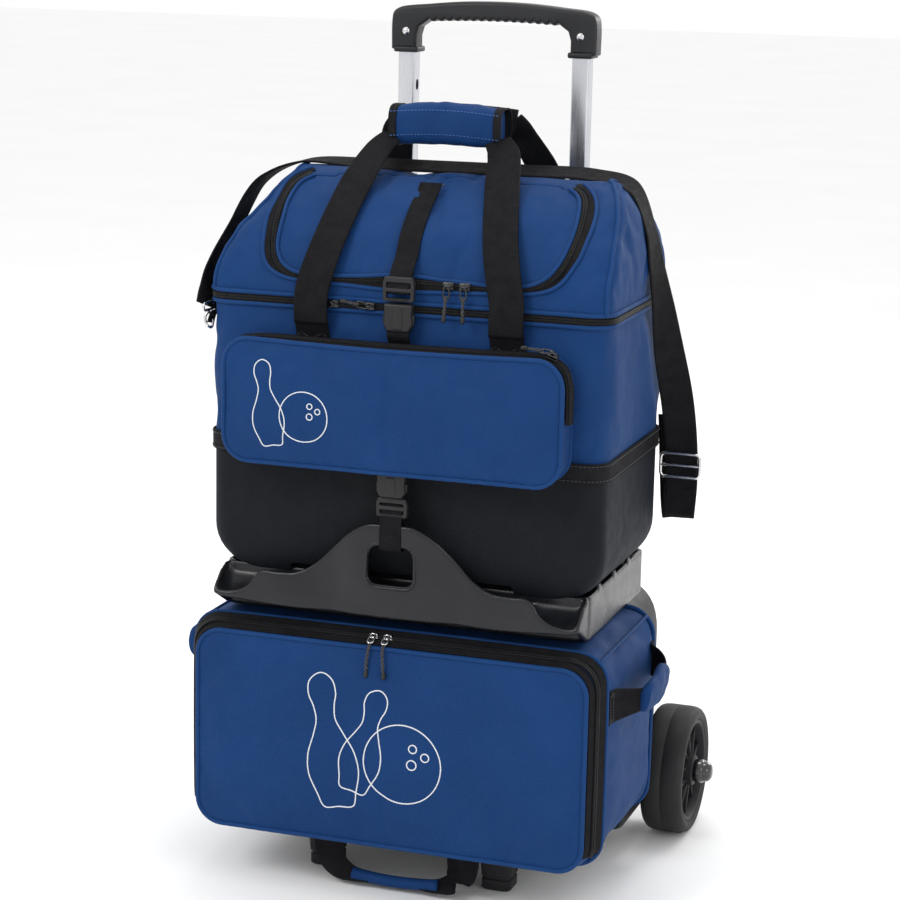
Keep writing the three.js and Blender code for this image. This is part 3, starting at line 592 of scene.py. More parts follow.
def plate(name, outlines, y0, y1, bevel, material, plane="XZ", segments=3):
    """A flat plate with rounded edges. The first outline is its edge, and the others are holes in it."""
    curve = bpy.data.curves.new(name, "CURVE")
    curve.dimensions = "2D"
    curve.fill_mode = "BOTH"
    curve.extrude = abs(y1 - y0) / 2 - bevel
    curve.bevel_depth = bevel
    curve.bevel_resolution = segments
    curve.offset = -bevel
    for outline in outlines:
        spline = curve.splines.new("POLY")
        spline.points.add(len(outline) - 1)
        for point, (x, z) in zip(spline.points, outline):
            point.co = (x, z, 0, 1)
        spline.use_cyclic_u = True
    holder = bpy.data.objects.new(name, curve)
    bpy.context.scene.collection.objects.link(holder)
    bpy.context.view_layer.update()
    mesh = bpy.data.meshes.new_from_object(holder.evaluated_get(bpy.context.evaluated_depsgraph_get()))
    flat = np.array([v.co for v in mesh.vertices], float)
    middle = (y0 + y1) / 2
    if plane == "XZ":
        points = np.stack([flat[:, 0], middle - flat[:, 2], flat[:, 1]], axis=1)
    elif plane == "YZ":
        points = np.stack([middle + flat[:, 2], flat[:, 0], flat[:, 1]], axis=1)
    else:
        points = np.stack([flat[:, 0], flat[:, 1], middle + flat[:, 2]], axis=1)
    faces = [tuple(p.vertices) for p in mesh.polygons]
    bpy.data.objects.remove(holder)
    bpy.data.meshes.remove(mesh)
    made = build(name, points, faces, material)
    made = recalculated(weld(made))
    return sharp_shading(made)


def weld(thing, distance=0.02):
    return with_modifier(thing, "WELD", merge_threshold=distance / 1000)


def sharp_shading(thing, angle=32.0):
    """Smooth shading that keeps the edges that are sharper than the angle."""
    mesh = bmesh.new()
    mesh.from_mesh(thing.data)
    for edge in mesh.edges:
        edge.smooth = len(edge.link_faces) == 2 and edge.calc_face_angle(0.0) < math.radians(angle)
    mesh.to_mesh(thing.data)
    mesh.free()
    thing.data.polygons.foreach_set("use_smooth", [True] * len(thing.data.polygons))
    return thing


def rounded_box(name, low, high, bevel, material, segments=4):
    x0, y0, z0 = low
    x1, y1, z1 = high
    points = [(x, y, z) for z in (z0, z1) for y in (y0, y1) for x in (x0, x1)]
    faces = [(0, 2, 3, 1), (4, 5, 7, 6), (0, 1, 5, 4), (2, 6, 7, 3), (0, 4, 6, 2), (1, 3, 7, 5)]
    made = build(name, points, faces, material)
    return with_modifier(made, "BEVEL", width=bevel / 1000, segments=segments, limit_method="NONE")


def lathe_x(name, profile, sign, material, segments=96, closed=True):
    """A profile of (radius, x) points turned round the wheels' axle line."""
    rings = []
    for i in range(segments):
        a = 2 * math.pi * i / segments
        rings.append([(sign * x, AXLE_Y + r * math.cos(a), AXLE_Z + r * math.sin(a)) for r, x in profile])
    around = len(profile)
    faces = []
    for i in range(segments):
        j = (i + 1) % segments
        for k in range(around if closed else around - 1):
            m = (k + 1) % around
            faces.append((i * around + k, i * around + m, j * around + m, j * around + k))
    made = build(name, np.array(rings).reshape(-1, 3), faces, material)
    return sharp_shading(recalculated(weld(made)), 40)


def outline(points, step=3.0):
    """A smooth closed 2D outline through the points."""
    path = smooth_curve([(x, z, 0) for x, z in points], step, closed=True)[0]
    return [(p[0], p[1]) for p in path]


def rounded_outline(x0, z0, x1, z1, radius, corner=8):
    return rounded_ring(x0, z0, x1, z1, radius, 1, 1, corner)


def slab_outline(points, radius, corner=6):
    """A polygon with each corner rounded by a radius, or by its own where a list is given."""
    radii = radius if hasattr(radius, "__len__") else [radius] * len(points)
    out = []
    for i, (x, z) in enumerate(points):
        here = np.array((x, z), float)
        before = np.array(points[i - 1], float)
        after = np.array(points[(i + 1) % len(points)], float)
        to_before, to_after = unit(before - here), unit(after - here)
        half = math.acos(max(-1.0, min(1.0, float(to_before.dot(to_after))))) / 2
        cutback = min(radii[i] / max(math.tan(half), 1e-6),
                      0.45 * np.linalg.norm(before - here), 0.45 * np.linalg.norm(after - here))
        first, last = here + to_before * cutback, here + to_after * cutback
        for k in range(corner + 1):
            t = k / corner
            out.append(tuple((1 - t) ** 2 * first + 2 * t * (1 - t) * here + t * t * last))
    return out


SIDES = (("left", -1), ("right", 1))


# ---------------------------------------------------------------- wheels and wheel base
def make_wheel(side, sign):
    tyre = lathe_x(f"tread_{side}", [
        (60.5, 215), (66, 212.6), (70, 213.4), (72.8, 216), (74.4, 220), (75, 226), (75, 236.6),
        (74.4, 237.5), (75, 238.4), (75, 249), (74.4, 255), (72.8, 259), (70, 261.6), (66, 262.4),
        (60.5, 260),
    ], sign, RUBBER)
    place(tyre, f"wheel_{side}", "tyre", f"tyre_{side}")
    rim = lathe_x(f"rim_{side}", [
        (60, 215.4), (60, 259.6), (58, 260.4), (55.6, 259.4), (54, 255), (52.8, 244), (49, 240.5),
        (24, 238.6), (19.5, 240.5), (18.4, 246), (17.6, 260.6), (15.8, 262), (7, 262), (7, 213.4),
        (18, 213.4), (18, 233), (52, 233), (54, 215.4),
    ], sign, MOULD)
    ribs = []
    for i in range(10):
        bar = rounded_box("rib", (238 if sign > 0 else -256, -1.5, 17),
                          (256 if sign > 0 else -238, 1.5, 56), 1.2, MOULD, 2)
        a = 2 * math.pi * i / 10
        p = millimetres(bar)
        y, z = p[:, 1].copy(), p[:, 2].copy()
        low = np.where(z > 35, 3.0, 0.0)
        p[:, 0] -= sign * np.where(np.abs(p[:, 0]) > 247, low, 0)
        p[:, 1] = 220 + y * math.cos(a) + z * math.sin(a)
        p[:, 2] = 75 - y * math.sin(a) + z * math.cos(a)
        set_millimetres(bar, p)
        ribs.append(sharp_shading(bar))
    place(join(f"rim_with_ribs_{side}", [rim, *ribs]), f"wheel_{side}", "black_mould", f"wheel_hub_{side}")
    cap = lathe_x(f"hub_cap_{side}", [
        (0.01, 262.6), (12, 262.6), (14, 263.6), (14, 270), (13.2, 272.4), (12.4, 273), (12, 276),
        (10.6, 279.4), (7.6, 281.8), (4, 282.8), (0.01, 283),
    ], sign, GLOSS, 64, closed=False)
    place(cap, f"wheel_{side}", "black_mould", f"axle_cap_{side}")


def shell_outline(inset):
    return slab_outline([(-208 + inset, 30 + inset), (208 - inset, 30 + inset), (208 - inset, 300 - inset),
                         (inset - 208, 300 - inset)], [18 - inset, 18 - inset, 62 - inset, 62 - inset], 10)


def cut_out(thing, tool):
    """The thing with the tool's shape taken out of it."""
    cut = thing.modifiers.new("cut", "BOOLEAN")
    cut.object = tool
    cut.operation = "DIFFERENCE"
    cut.solver = "EXACT"
    apply_modifiers(thing)
    bpy.data.objects.remove(tool)


def make_back_shell():
    shell = plate("rear_shell", [shell_outline(0)], SHELL_FRONT, SHELL_BACK, 12, MOULD, segments=8)
    cut_out(shell, plate("rear_recess", [slab_outline([(-86, 60), (86, 60), (74, 268), (-74, 268)], 16)],
                         226, 260, 4, MOULD))
    cut_out(shell, plate("hollow", [shell_outline(SHELL_WALL)], 60, 222, 8, MOULD))
    for _, sign in SIDES:
        x = sign * TUBE_X
        cut_out(shell, rounded_box("tube_hole", (x - 14.3, 184.4, 280), (x + 14.3, 213.0, 320), 2, MOULD))
    ridges = [rounded_box("ridge", (-68 + 24 * k, 224, 74), (-60 + 24 * k, 233, 256), 2.6, MOULD,
                          3) for k in range(6)]
    guards = []
    for sign in (-1, 1):
        x = sign * 150
        guards.append(plate("guard", [slab_outline([(x - 34, 44), (x + 34, 44), (x + 26, 150),
                                                    (x - 26, 150)], 12)],
                            233, 238.5, 2.2, MOULD))
        for z in (62, 132):
            guards.append(rounded_box("bolt", (x - 6, 237, z - 6), (x + 6, 240.6, z + 6), 2.8, NICKEL, 3))
    made = join("rear_shell", [sharp_shading(shell, 28), *ridges, *guards])
    place(made, "chassis", "black_mould", "back_shell")


def make_base_plate():
    footprint = slab_outline([(-200, -96), (200, -96), (200, 98), (-200, 98)], 20)
    floor_plate = plate("underside", [footprint], 59, 65.5, 2.4, MOULD, plane="XY")
    pieces = [floor_plate]
    for sign in (-1, 1):
        rings = []
        for z, half, radius in ((0, 15.4, 6), (1, 16.6, 7), (2.4, 17, 7), (12, 17, 7), (13, 15.6, 6),
                                (15, 15.6, 6), (16, 17.4, 7), (40, 19.6, 8), (54, 21, 8), (60, 26, 10)):
            x = sign * 102
            rings.append([(px, py, z) for px, py in
                          rounded_ring(x - half, -31 - half, x + half, -31 + half, radius, 4, 4, 6)])
        pieces.append(sharp_shading(recalculated(loft("foot", rings, MOULD)), 40))
    for k in range(4):
        y = -41 + 41 * k
        pieces.append(rounded_box("runner", (-150, y - 2, 54.5), (150, y + 2, 60), 1.4, MOULD, 2))
    place(join("underside", pieces), "chassis", "black_mould", "base_plate")


def make_axle_and_brace():
    rod = lathe_x("axle_rod", [(0, -262), (5, -262), (6, -261), (6, 261), (5, 262), (0, 262)], 1, NICKEL,
                  32, False)
    place(rod, "chassis", "steel", "axle")
    bars = [rounded_box("brace", (-203, 177, 88), (203, 220, 95.4), 2, MOULD, 3)]
    bars += [rounded_box("rib", (-200, y, 86.2), (200, y + 3, 90), 0.8, MOULD, 2) for y in (181, 198, 215)]
    place(join("tube_brace_moulding", bars), "chassis", "black_mould", "tube_brace")


def square_tube(name, x, width, wall, z0, z1, radius, material):
    def section(half, r):
        return rounded_ring(x - half, TUBE_Y - half, x + half, TUBE_Y + half, max(r, 0.4), 2, 2, 5)
    outer, inner = width / 2, width / 2 - wall
    edge = 0.5
    rings = [ring_of(section(inner, radius - wall), z0), ring_of(section(outer - edge, radius), z0),
             ring_of(section(outer, radius), z0 + edge), ring_of(section(outer, radius), z1 - edge),
             ring_of(section(outer - edge, radius), z1), ring_of(section(inner, radius - wall), z1)]
    around = len(rings[0])
    made = loft(name, rings, material, False, False)
    mesh_faces = [tuple(p.vertices) for p in made.data.polygons]
    mesh_faces += [(5 * around + k, 5 * around + (k + 1) % around, (k + 1) % around,
                    k) for k in range(around)]
    points = millimetres(made)
    bpy.data.objects.remove(made)
    return sharp_shading(recalculated(build(name, points, mesh_faces, material)), 40)


def make_tubes():
    for side, sign in SIDES:
        x = sign * 103
        outer = square_tube(f"outer_stage_{side}", x, 28, 1.7, 96, 400, 3.4, ALUMINIUM)
        place(outer, "chassis", "aluminium", f"outer_tube_{side}")
        collar = square_tube(f"outer_stage_collar_{side}", x, 34, 4.6, 396, 415, 5, GRIP)
        place(collar, "chassis", "black_mould", f"outer_collar_{side}")
        middle = square_tube(f"middle_stage_{side}", x, 24, 1.7, 350, 690, 3, ALUMINIUM)
        place(middle, "handle_middle", "aluminium", f"middle_tube_{side}")
        collar = square_tube(f"middle_stage_collar_{side}", x, 30, 4.6, 686, 705, 4.6, GRIP)
        place(collar, "handle_middle", "black_mould", f"middle_collar_{side}")
        inner = square_tube(f"upper_stage_{side}", x, 20, 1.5, 594, 932, 2.6, ALUMINIUM)
        drill_lock_hole(inner, x - sign * 10)
        place(inner, "handle_upper", "aluminium", f"inner_tube_{side}")


def drill_lock_hole(tube, wall_x):
    """Cut the spring button's oval hole through the tube's inner wall."""
    points, count = [], 32
    for dx in (-3, 3):
        for k in range(count):
            a = 2 * math.pi * k / count
            points.append((wall_x + dx, TUBE_Y + 4.6 * math.cos(a), LOCK_HOLE_Z + 6.2 * math.sin(a)))
    faces = [(k, (k + 1) % count, count + (k + 1) % count, count + k) for k in range(count)]
    faces += [tuple(range(count))[::-1], tuple(range(count, 2 * count))]
    cut_out(tube, recalculated(build("drill", points, faces, MOULD)))
    sharp_shading(tube, 40)


def grip_edge():
    """The grip's outline: an arch between two end blocks, with finger bumps along its underside."""
    top = [(-121, 903), (-121, 934), (-119, 944), (-111, 949.5), (-80, 953.5), (-40, 957), (0, 958),
           (40, 957), (80, 953.5), (111, 949.5), (119, 944), (121, 934), (121, 903)]
    arch = smooth_curve([(x, z, 0) for x, z in top], 3.0)[0]
    edge = [(p[0], p[1]) for p in arch]
    inner = 91.0
    edge += [(119.5, 902), (inner + 1.5, 902), (inner, 903.5), (inner, 918), (inner - 3, 928),
             (inner - 11, 933.5)]
    for k in range(112):
        x = 76 - 152 * k / 111
        bump = 3.0 * abs(math.sin(math.pi * (x + 76) / 9.5)) ** 0.7
        edge.append((x, 936.6 + 2.4 * (1 - (x / 80) ** 2) - bump))
    edge += [(11 - inner, 933.5), (3 - inner, 928), (-inner, 918), (-inner, 903.5), (-inner - 1.5, 902),
             (-119.5, 902)]
    return edge


def make_grip():
    body = plate("grip", [grip_edge()], 185.7, 211.7, 4.2, GRIP, segments=5)
    sockets = []
    for _, sign in SIDES:
        sockets.append(rounded_box("ferrule", (sign * TUBE_X - 14.4, 184.6, 899),
                                   (sign * TUBE_X + 14.4, 212.8, 905.5), 2.2, GRIP))
    place(join("grip", [sharp_shading(body, 36), *sockets]), "handle_upper", "black_mould", "handle_grip")
    for side, sign in SIDES:
        domes = []
        for y, face in ((185.7, -1), (211.7, 1)):
            rings = []
            for r, h in ((4.6, -1.0), (4.6, 0.2), (4.3, 1.0), (3.4, 1.8), (2.0, 2.4), (0.5, 2.6)):
                rings.append([(sign * 103 + r * math.cos(a), y + face * h, 923 + r * math.sin(a))
                              for a in np.linspace(0, 2 * math.pi, 33)[:-1]])
            domes.append(recalculated(loft("dome", rings, NICKEL)))
        place(join(f"rivet_{side}", domes), "handle_upper", "steel", f"grip_rivet_{side}")


for side, sign in SIDES:
    make_wheel(side, sign)
make_back_shell()
make_base_plate()
make_tubes()
make_grip()


# ---------------------------------------------------------------- tray
def tray_lip_outline():
    right = [(0, 424), (26, 423), (48, 411), (68, 392), (88, 372), (108, 361), (132, 358), (150, 358),
             (158, 352), (164, 342), (176, 333.5), (192, 330.5), (206, 330), (207, 326), (196, 323),
             (150, 321), (80, 319.5), (0, 319)]
    left = [(-x, z) for x, z in right[-2:0:-1]]
    return outline(right + left, 2.5)


def tray_scoop(sign):
    """The dished corner behind each end of the lip."""
    rows = []
    for i in range(13):
        x = 148 + 58 * i / 12
        row = []
        for j in range(13):
            t = j / 12
            y = -117 + 36 * t
            z = 326 + 18 * t ** 2.2 + 12 * max(0.0, (156 - x) / 8) * (1 - t) + 7 * max(0.0, (x - 198) / 8)
            row.append((sign * x, y, z))
        rows.append(row)
    count = 13
    points = [p for row in rows for p in row]
    faces = [(i * count + j, (i + 1) * count + j, (i + 1) * count + j + 1, i * count + j + 1)
             for i in range(12) for j in range(12)]
    sheet = build("scoop", points, faces, TRAY)
    return recalculated(with_modifier(sheet, "SOLIDIFY", thickness=0.0045, offset=0))


def make_tray():
    edge = rounded_outline(-207.5, -84, 207.5, 153, 14)
    inner = rounded_outline(-202.5, -79, 202.5, 148, 10)
    solids = [
        plate("lip", [tray_lip_outline(), slab_outline([(-25, 358), (25, 358), (24, 399), (-24, 399)],
                                                       11)[::-1]],
              -118.5, -112.5, 2.2, TRAY),
        plate("wall", [edge, inner[::-1]], 306, 356, 1.5, TRAY, plane="XY"),
        plate("seat", [edge], 342.6, 347.6, 1.5, TRAY, plane="XY"),
        rounded_box("shelf", (-150, -117, 336), (150, -78, 341), 1.5, TRAY),
        rounded_box("flange", (-122, 146, 311), (122, 184, 331), 3, TRAY),
        tray_scoop(-1), tray_scoop(1),
    ]
    for sign in (-1, 1):
        solids.append(plate("cheek", [slab_outline([(-118, 327), (-80, 306), (-80, 356), (-100, 348),
                                                    (-118, 332)], 3)],
                            sign * 203, sign * 207.6, 1.6, TRAY, plane="YZ"))
        for y in (-36, 24, 84):
            solids.append(rounded_box("nub", (sign * 205 - 2.6, y - 6, 350),
                                      (sign * 205 + 2.6, y + 6, 360.5), 1.8, TRAY))
    tray = join("tray_moulding", solids)
    with_modifier(tray, "REMESH", mode="VOXEL", voxel_size=0.0024, use_smooth_shade=True)
    with_modifier(tray, "SMOOTH", factor=0.5, iterations=3)
    p = millimetres(tray)
    x, y, z = p.T
    front = np.clip((-96 - y) / 12, 0, 1)
    hump = np.exp(-(x / 52) ** 4) * np.clip((z - 328) / 30, 0, 1)
    wing = np.exp(-((np.abs(x) - 118) / 34) ** 2) * np.clip((366 - z) / 30, 0, 1)
    fold = np.exp(-((np.abs(x) - 72) / 18) ** 2)
    p[:, 1] += front * (-6.5 * hump - 3.0 * wing + 3.0 * fold)
    set_millimetres(tray, p)
    hole = slab_outline([(-28, 355), (28, 355), (27, 402), (-27, 402)], 13)
    rim = sweep("hole_rim", [(x, -124.4 + 1.2 * (z - 355) / 47, z) for x, z in hole], 2.0, TRAY, 8, 3.0,
                closed=True)
    place(join("tray_moulding", [tray, rim]), "chassis", "tray_plastic", "tray")


# ---------------------------------------------------------------- buckles, strap on the tray
def make_plug(name, z0, z1, y0, y1):
    """A ladder-lock half with its bars and the shoulders that meet the socket."""
    frame_edge = slab_outline([(-17, z0), (17, z0), (17.4, z1 - 7), (15.4, z1), (-15.4, z1),
                               (-17.4, z1 - 7)], 2.6)
    middle = (z0 + z1) / 2
    upper = slab_outline([(-13.2, middle + 1.6), (13.2, middle + 1.6), (13.2, z1 - 6), (-13.2, z1 - 6)],
                         1.4)
    lower = slab_outline([(-13.2, z0 + 3.6), (13.2, z0 + 3.6), (13.2, middle - 2.4),
                          (-13.2, middle - 2.4)], 1.4)
    body = plate(name, [frame_edge, upper[::-1], lower[::-1]], y0 + 1.2, y1 - 0.6, 1.3, BUCKLE)
    bar = rounded_box("bar", (-15, y0 + 0.4, middle - 2.8), (15, y1 - 3.2, middle + 1.8), 1.4, BUCKLE)
    ribs = [rounded_box("rib", (-12, y0 + 0.3, z0 + 1 + 1.3 * k), (12, y0 + 2, z0 + 1.7 + 1.3 * k), 0.3,
                        BUCKLE, 2)
            for k in range(2)]
    return join(name, [body, bar, *ribs])


def make_socket(name, z0, z1, y0, y1):
    """The female half: a flat shell with a waisted outline, a raised rail down its front and a prong at each
    side.
    """
    span = z1 - z0
    edge = slab_outline([(-12, z0), (12, z0), (16.4, z0 + 0.25 * span), (15.2, z0 + 0.6 * span), (16.2, z1),
                         (-16.2, z1), (-15.2, z0 + 0.6 * span), (-16.4, z0 + 0.25 * span)], 3.0)
    body = plate(name, [edge], y0, y1, 3.0, BUCKLE, segments=5)
    rail = plate("rail", [slab_outline([(-6, z0 + 3), (6, z0 + 3), (5, z1 - 4), (-5, z1 - 4)], 2.4)],
                 y0 - 0.9, y0 + 2, 0.8, BUCKLE)
    prongs = []
    for sign in (-1, 1):
        z = z0 + 0.42 * span
        prongs.append(rounded_box("prong", (sign * 15.4 - 1.8, (y0 + y1) / 2 - 2.6, z - 0.17 * span),
                                  (sign * 15.4 + 1.8, (y0 + y1) / 2 + 2.6, z + 0.2 * span), 1.4, BUCKLE))
    return join(name, [body, rail, *prongs])


def make_buckles():
    place(make_plug("tray_ladder_lock", 432, 453, -124, -115), "chassis", "buckle_nylon", "tray_buckle")
    place(make_socket("tray_side_release", 453.5, 480, -127, -114), "tote", "buckle_nylon", "socket_lower")
    place(make_plug("lid_ladder_lock", 660, 686, -114, -105.5), "flap", "buckle_nylon", "lid_buckle")
    place(make_socket("lid_side_release", 628, 658, -114, -102), "tote", "buckle_nylon", "socket_upper")
    front, behind = -120.2, -110.8
    route = [(0, -119.5, 447), (0, front, 440), (0, front - 4, 424), (0, front - 5.6, 408), (0, -124, 398),
             (0, -117.5, 394.6), (0, behind - 1.8, 399), (0, behind, 412), (0, -112, 432), (0, -113.4, 446)]
    tray_strap = strap("tray_webbing", route, 24.5, 1.9, (1, 0, 0), WEB, 3.0)
    bight = strap("tray_loop", [(0, -113, 478), (0, -115, 486), (0, -112.6, 500), (0, -101.8, 505)], 24.5,
                  1.9, (1, 0, 0), WEB, 3.0)
    place(tray_strap, "chassis", "black_webbing", "tray_strap")
    place(bight, "tote", "black_webbing")


# ---------------------------------------------------------------- soft goods
def settle(thing, held, pressure, cap=10.0, slack=0.0, frames=20, bending=0.6):
    """Cloth between its held seams, filled from inside, with the result kept in the mesh."""
    rest = millimetres(thing)
    group = thing.vertex_groups.new(name="held")
    group.add([int(v) for v in held], 1.0, "REPLACE")
    cloth = thing.modifiers.new("cloth", "CLOTH")
    settings = cloth.settings
    settings.quality = 6
    settings.mass = 0.25
    settings.tension_stiffness = 20
    settings.compression_stiffness = 20
    settings.shear_stiffness = 8
    settings.bending_stiffness = bending
    settings.use_pressure = True
    settings.uniform_pressure_force = pressure
    settings.shrink_min = -slack
    settings.effector_weights.gravity = 0
    settings.vertex_group_mass = "held"
    cloth.point_cache.frame_start = 1
    cloth.point_cache.frame_end = frames
    scene = bpy.context.scene
    for number in range(1, frames + 1):
        scene.frame_set(number)
    evaluated = thing.evaluated_get(bpy.context.evaluated_depsgraph_get())
    flat = np.empty(len(thing.data.vertices) * 3)
    evaluated.data.vertices.foreach_get("co", flat)
    moved = flat.reshape(-1, 3) * 1000 - (0, BAG_Y, 0) - rest
    length = np.linalg.norm(moved, axis=1, keepdims=True)
    thing.modifiers.clear()
    thing.vertex_groups.clear()
    set_millimetres(thing, rest + moved * np.minimum(1, cap / np.maximum(length, 1e-9)))
    scene.frame_set(1)
    return thing


def creases(points, normals, depth, scale, seed=0.0, stretch=(1, 1, 1)):
    """Small soft folds: the points moved along their normals by smooth noise."""
    out = points.copy()
    for i, (p, n) in enumerate(zip(points, normals)):
        q = Vector((p[0] * stretch[0] / scale, p[1] * stretch[1] / scale, p[2] * stretch[2] / scale + seed))
        out[i] += n * depth * (noise.noise(q) + 0.5 * noise.noise(q * 2.1))
    return out


def vertex_normals(thing):
    flat = np.empty(len(thing.data.vertices) * 3)
    thing.data.vertices.foreach_get("normal", flat)
    return flat.reshape(-1, 3)


def rumple(thing, held, depth, scale, seed=0.0, stretch=(1, 1, 1), fade=18.0):
    """Creases over a whole mesh, fading out at the held seams."""
    p = millimetres(thing)
    n = vertex_normals(thing)
    folded = creases(p, n, depth, scale, seed, stretch)
    anchors = p[list(held)][::2]
    near = np.empty(len(p))
    for start in range(0, len(p), 2000):
        block = p[start:start + 2000]
        near[start:start + 2000] = np.sqrt(((block[:, None] - anchors[None]) ** 2).sum(2)).min(1)
    weight = np.clip(near / fade, 0, 1)[:, None]
    set_millimetres(thing, p + (folded - p) * weight)
    return thing


def rounded_grid(x0, x1, z0, z1, radius, nx, nz):
    """A grid that fills a rounded rectangle: its points, faces, and the loop of its edge in order."""
    xs, zs = np.linspace(x0, x1, nx + 1), np.linspace(z0, z1, nz + 1)
    points = np.empty((nx + 1, nz + 1, 2))
    for i, x in enumerate(xs):
        for j, z in enumerate(zs):
            cx = min(max(x, x0 + radius), x1 - radius)
            cz = min(max(z, z0 + radius), z1 - radius)
            u, v = (x - cx) / radius, (z - cz) / radius
            points[i, j] = (cx + radius * u * math.sqrt(1 - v * v / 2),
                            cz + radius * v * math.sqrt(1 - u * u / 2))
    index = np.arange((nx + 1) * (nz + 1)).reshape(nx + 1, nz + 1)
    faces = [(index[i, j], index[i + 1, j], index[i + 1, j + 1], index[i, j + 1])
             for i in range(nx) for j in range(nz)]
    loop = [index[i, 0] for i in range(nx)] + [index[nx, j] for j in range(nz)]
    loop += [index[nx - i, nz] for i in range(nx)] + [index[0, nz - j] for j in range(nz)]
    return points.reshape(-1, 2), faces, [int(v) for v in loop]


def face_with_skirt(name, box, radius, counts, face_y, depths, material, crown=0.0, spread=None):
    """A rounded face looking along -Y or +Y with a skirt behind it. Returns the mesh and the rings of its
    skirt. Spread gives a skirt point for (x, y, z), for a skirt that doesn't run straight back."""
    x0, x1, z0, z1 = box
    flat, faces, loop = rounded_grid(x0, x1, z0, z1, radius, *counts)
    cx, cz = (x0 + x1) / 2, (z0 + z1) / 2
    u = (flat[:, 0] - cx) / ((x1 - x0) / 2)
    v = (flat[:, 1] - cz) / ((z1 - z0) / 2)
    bulge = crown * (1 - np.abs(u) ** 3) * (1 - np.abs(v) ** 3)
    away = -1 if depths[-1] > face_y else 1
    points = [(x, face_y + away * b, z) for (x, z), b in zip(flat, bulge)]
    rings = [loop]
    for y in depths:
        start = len(points)
        points += [spread(flat[k][0], y, flat[k][1]) if spread else (flat[k][0], y,
                                                                     flat[k][1]) for k in loop]
        ring = list(range(start, start + len(loop)))
        before = rings[-1]
        for k in range(len(loop)):
            m = (k + 1) % len(loop)
            faces.append((before[k], before[m], ring[m], ring[k]))
        rings.append(ring)
    made = recalculated(build(name, points, faces, material))
    return made, rings


def make_ball_cups(name, half, front, back, low, high, body, node):
    """A foam block with two dished hollows, its top edges softened."""
    radius, depth = 109.0, 3.0
    nx, ny = 150, 70
    xs, ys = np.linspace(-half, half, nx + 1), np.linspace(front, back, ny + 1)
    centre_y, centre_z = (front + back) / 2, low + radius + depth
    top = []
    for x in xs:
        for y in ys:
            flat = (abs(x) - radius) ** 2 + (y - centre_y) ** 2
            z = high
            if flat < radius ** 2:
                z = min(z, centre_z - math.sqrt(radius ** 2 - flat))
            edge = min(half - abs(x), y - front, back - y)
            z -= 2.5 * max(0.0, 1 - edge / 5) ** 2
            z += 0.5 * noise.noise(Vector((x / 14, y / 14, low)))
            top.append((x, y, z))
    bottom = [(x, y, low) for x, y, _ in top]
    index = np.arange((nx + 1) * (ny + 1)).reshape(nx + 1, ny + 1)
    under = index + len(top)
    faces = []
    for i in range(nx):
        for j in range(ny):
            faces.append((index[i, j], index[i + 1, j], index[i + 1, j + 1], index[i, j + 1]))
            faces.append((under[i, j], under[i, j + 1], under[i + 1, j + 1], under[i + 1, j]))
    rim = list(index[:-1, 0]) + list(index[-1, :-1]) + list(index[:0:-1, -1]) + list(index[0, :0:-1])
    for a, b in zip(rim, rim[1:] + rim[:1]):
        faces.append((a, a + len(top), b + len(top), b))
    cups = recalculated(build(name, top + bottom, [tuple(int(v) for v in f) for f in faces], FOAM))
    place(sharp_shading(cups, 50), body, "foam", node)


def thick(thing, depth, offset=-1):
    return with_modifier(thing, "SOLIDIFY", thickness=depth / 1000, offset=offset, use_even_offset=False)


def seam_points(thing, ring, lift=0.0):
    p = millimetres(thing)[ring]
    if lift:
        p = p + vertex_normals(thing)[ring] * lift
    return p


def ring_path(x0, x1, z0, z1, radius, y, out=0.0):
    edge = rounded_outline(x0 - out, z0 - out, x1 + out, z1 + out, radius + out, 8)
    return [(x, y, z) for x, z in edge]


def long_zip(name, path, across, outward, tape, coil_width=4.6, pitch=1.9, closed=False, coil=True):
    """A strip of zip tape with its coil of small teeth, on a path of points with their directions."""
    pieces = [strap(name, path, tape, 1.1, across, TAPE, 4.0, closed)]
    if coil:
        line, even, marks = smooth_curve(path, pitch, closed)
        count = len(path)
        def spread(vectors):
            if not hasattr(vectors[0], "__len__"):
                vectors = [vectors] * count
            return unit(np.stack([np.interp(even, marks[:count],
                                            [v[k] for v in vectors]) for k in range(3)], axis=1))
        sideways, out = spread(across), spread(outward)
        for shift in (-0.28, 0.28):
            centre = line + out * 1.0 + sideways * shift * coil_width
            pieces.append(rows_of_pegs("teeth", centre, sideways, coil_width * 0.56, 0.72, COIL))
    return join(name, pieces)


# ---------------------------------------------------------------- lower bag
LOWER = (-234.5, 234.5, 66.0, 300.0)
LOWER_FACE = (-221.0, 221.0, 66.0, 288.0)
FACE_Y, SLOPE_Y, LOWER_BACK_Y = -127.0, -100.0, 98.0


def on_slope(x, y, z):
    """A point of the front face's outline at depth y, where the bag is wider and taller."""
    t = min(max((y - FACE_Y) / (SLOPE_Y - FACE_Y), 0.0), 1.0)
    wider = 1 + t * (LOWER[1] / LOWER_FACE[1] - 1)
    taller = 1 + t * ((LOWER[3] - LOWER[2]) / (LOWER_FACE[3] - LOWER_FACE[2]) - 1)
    return (x * wider, y, LOWER[2] + (z - LOWER[2]) * taller)


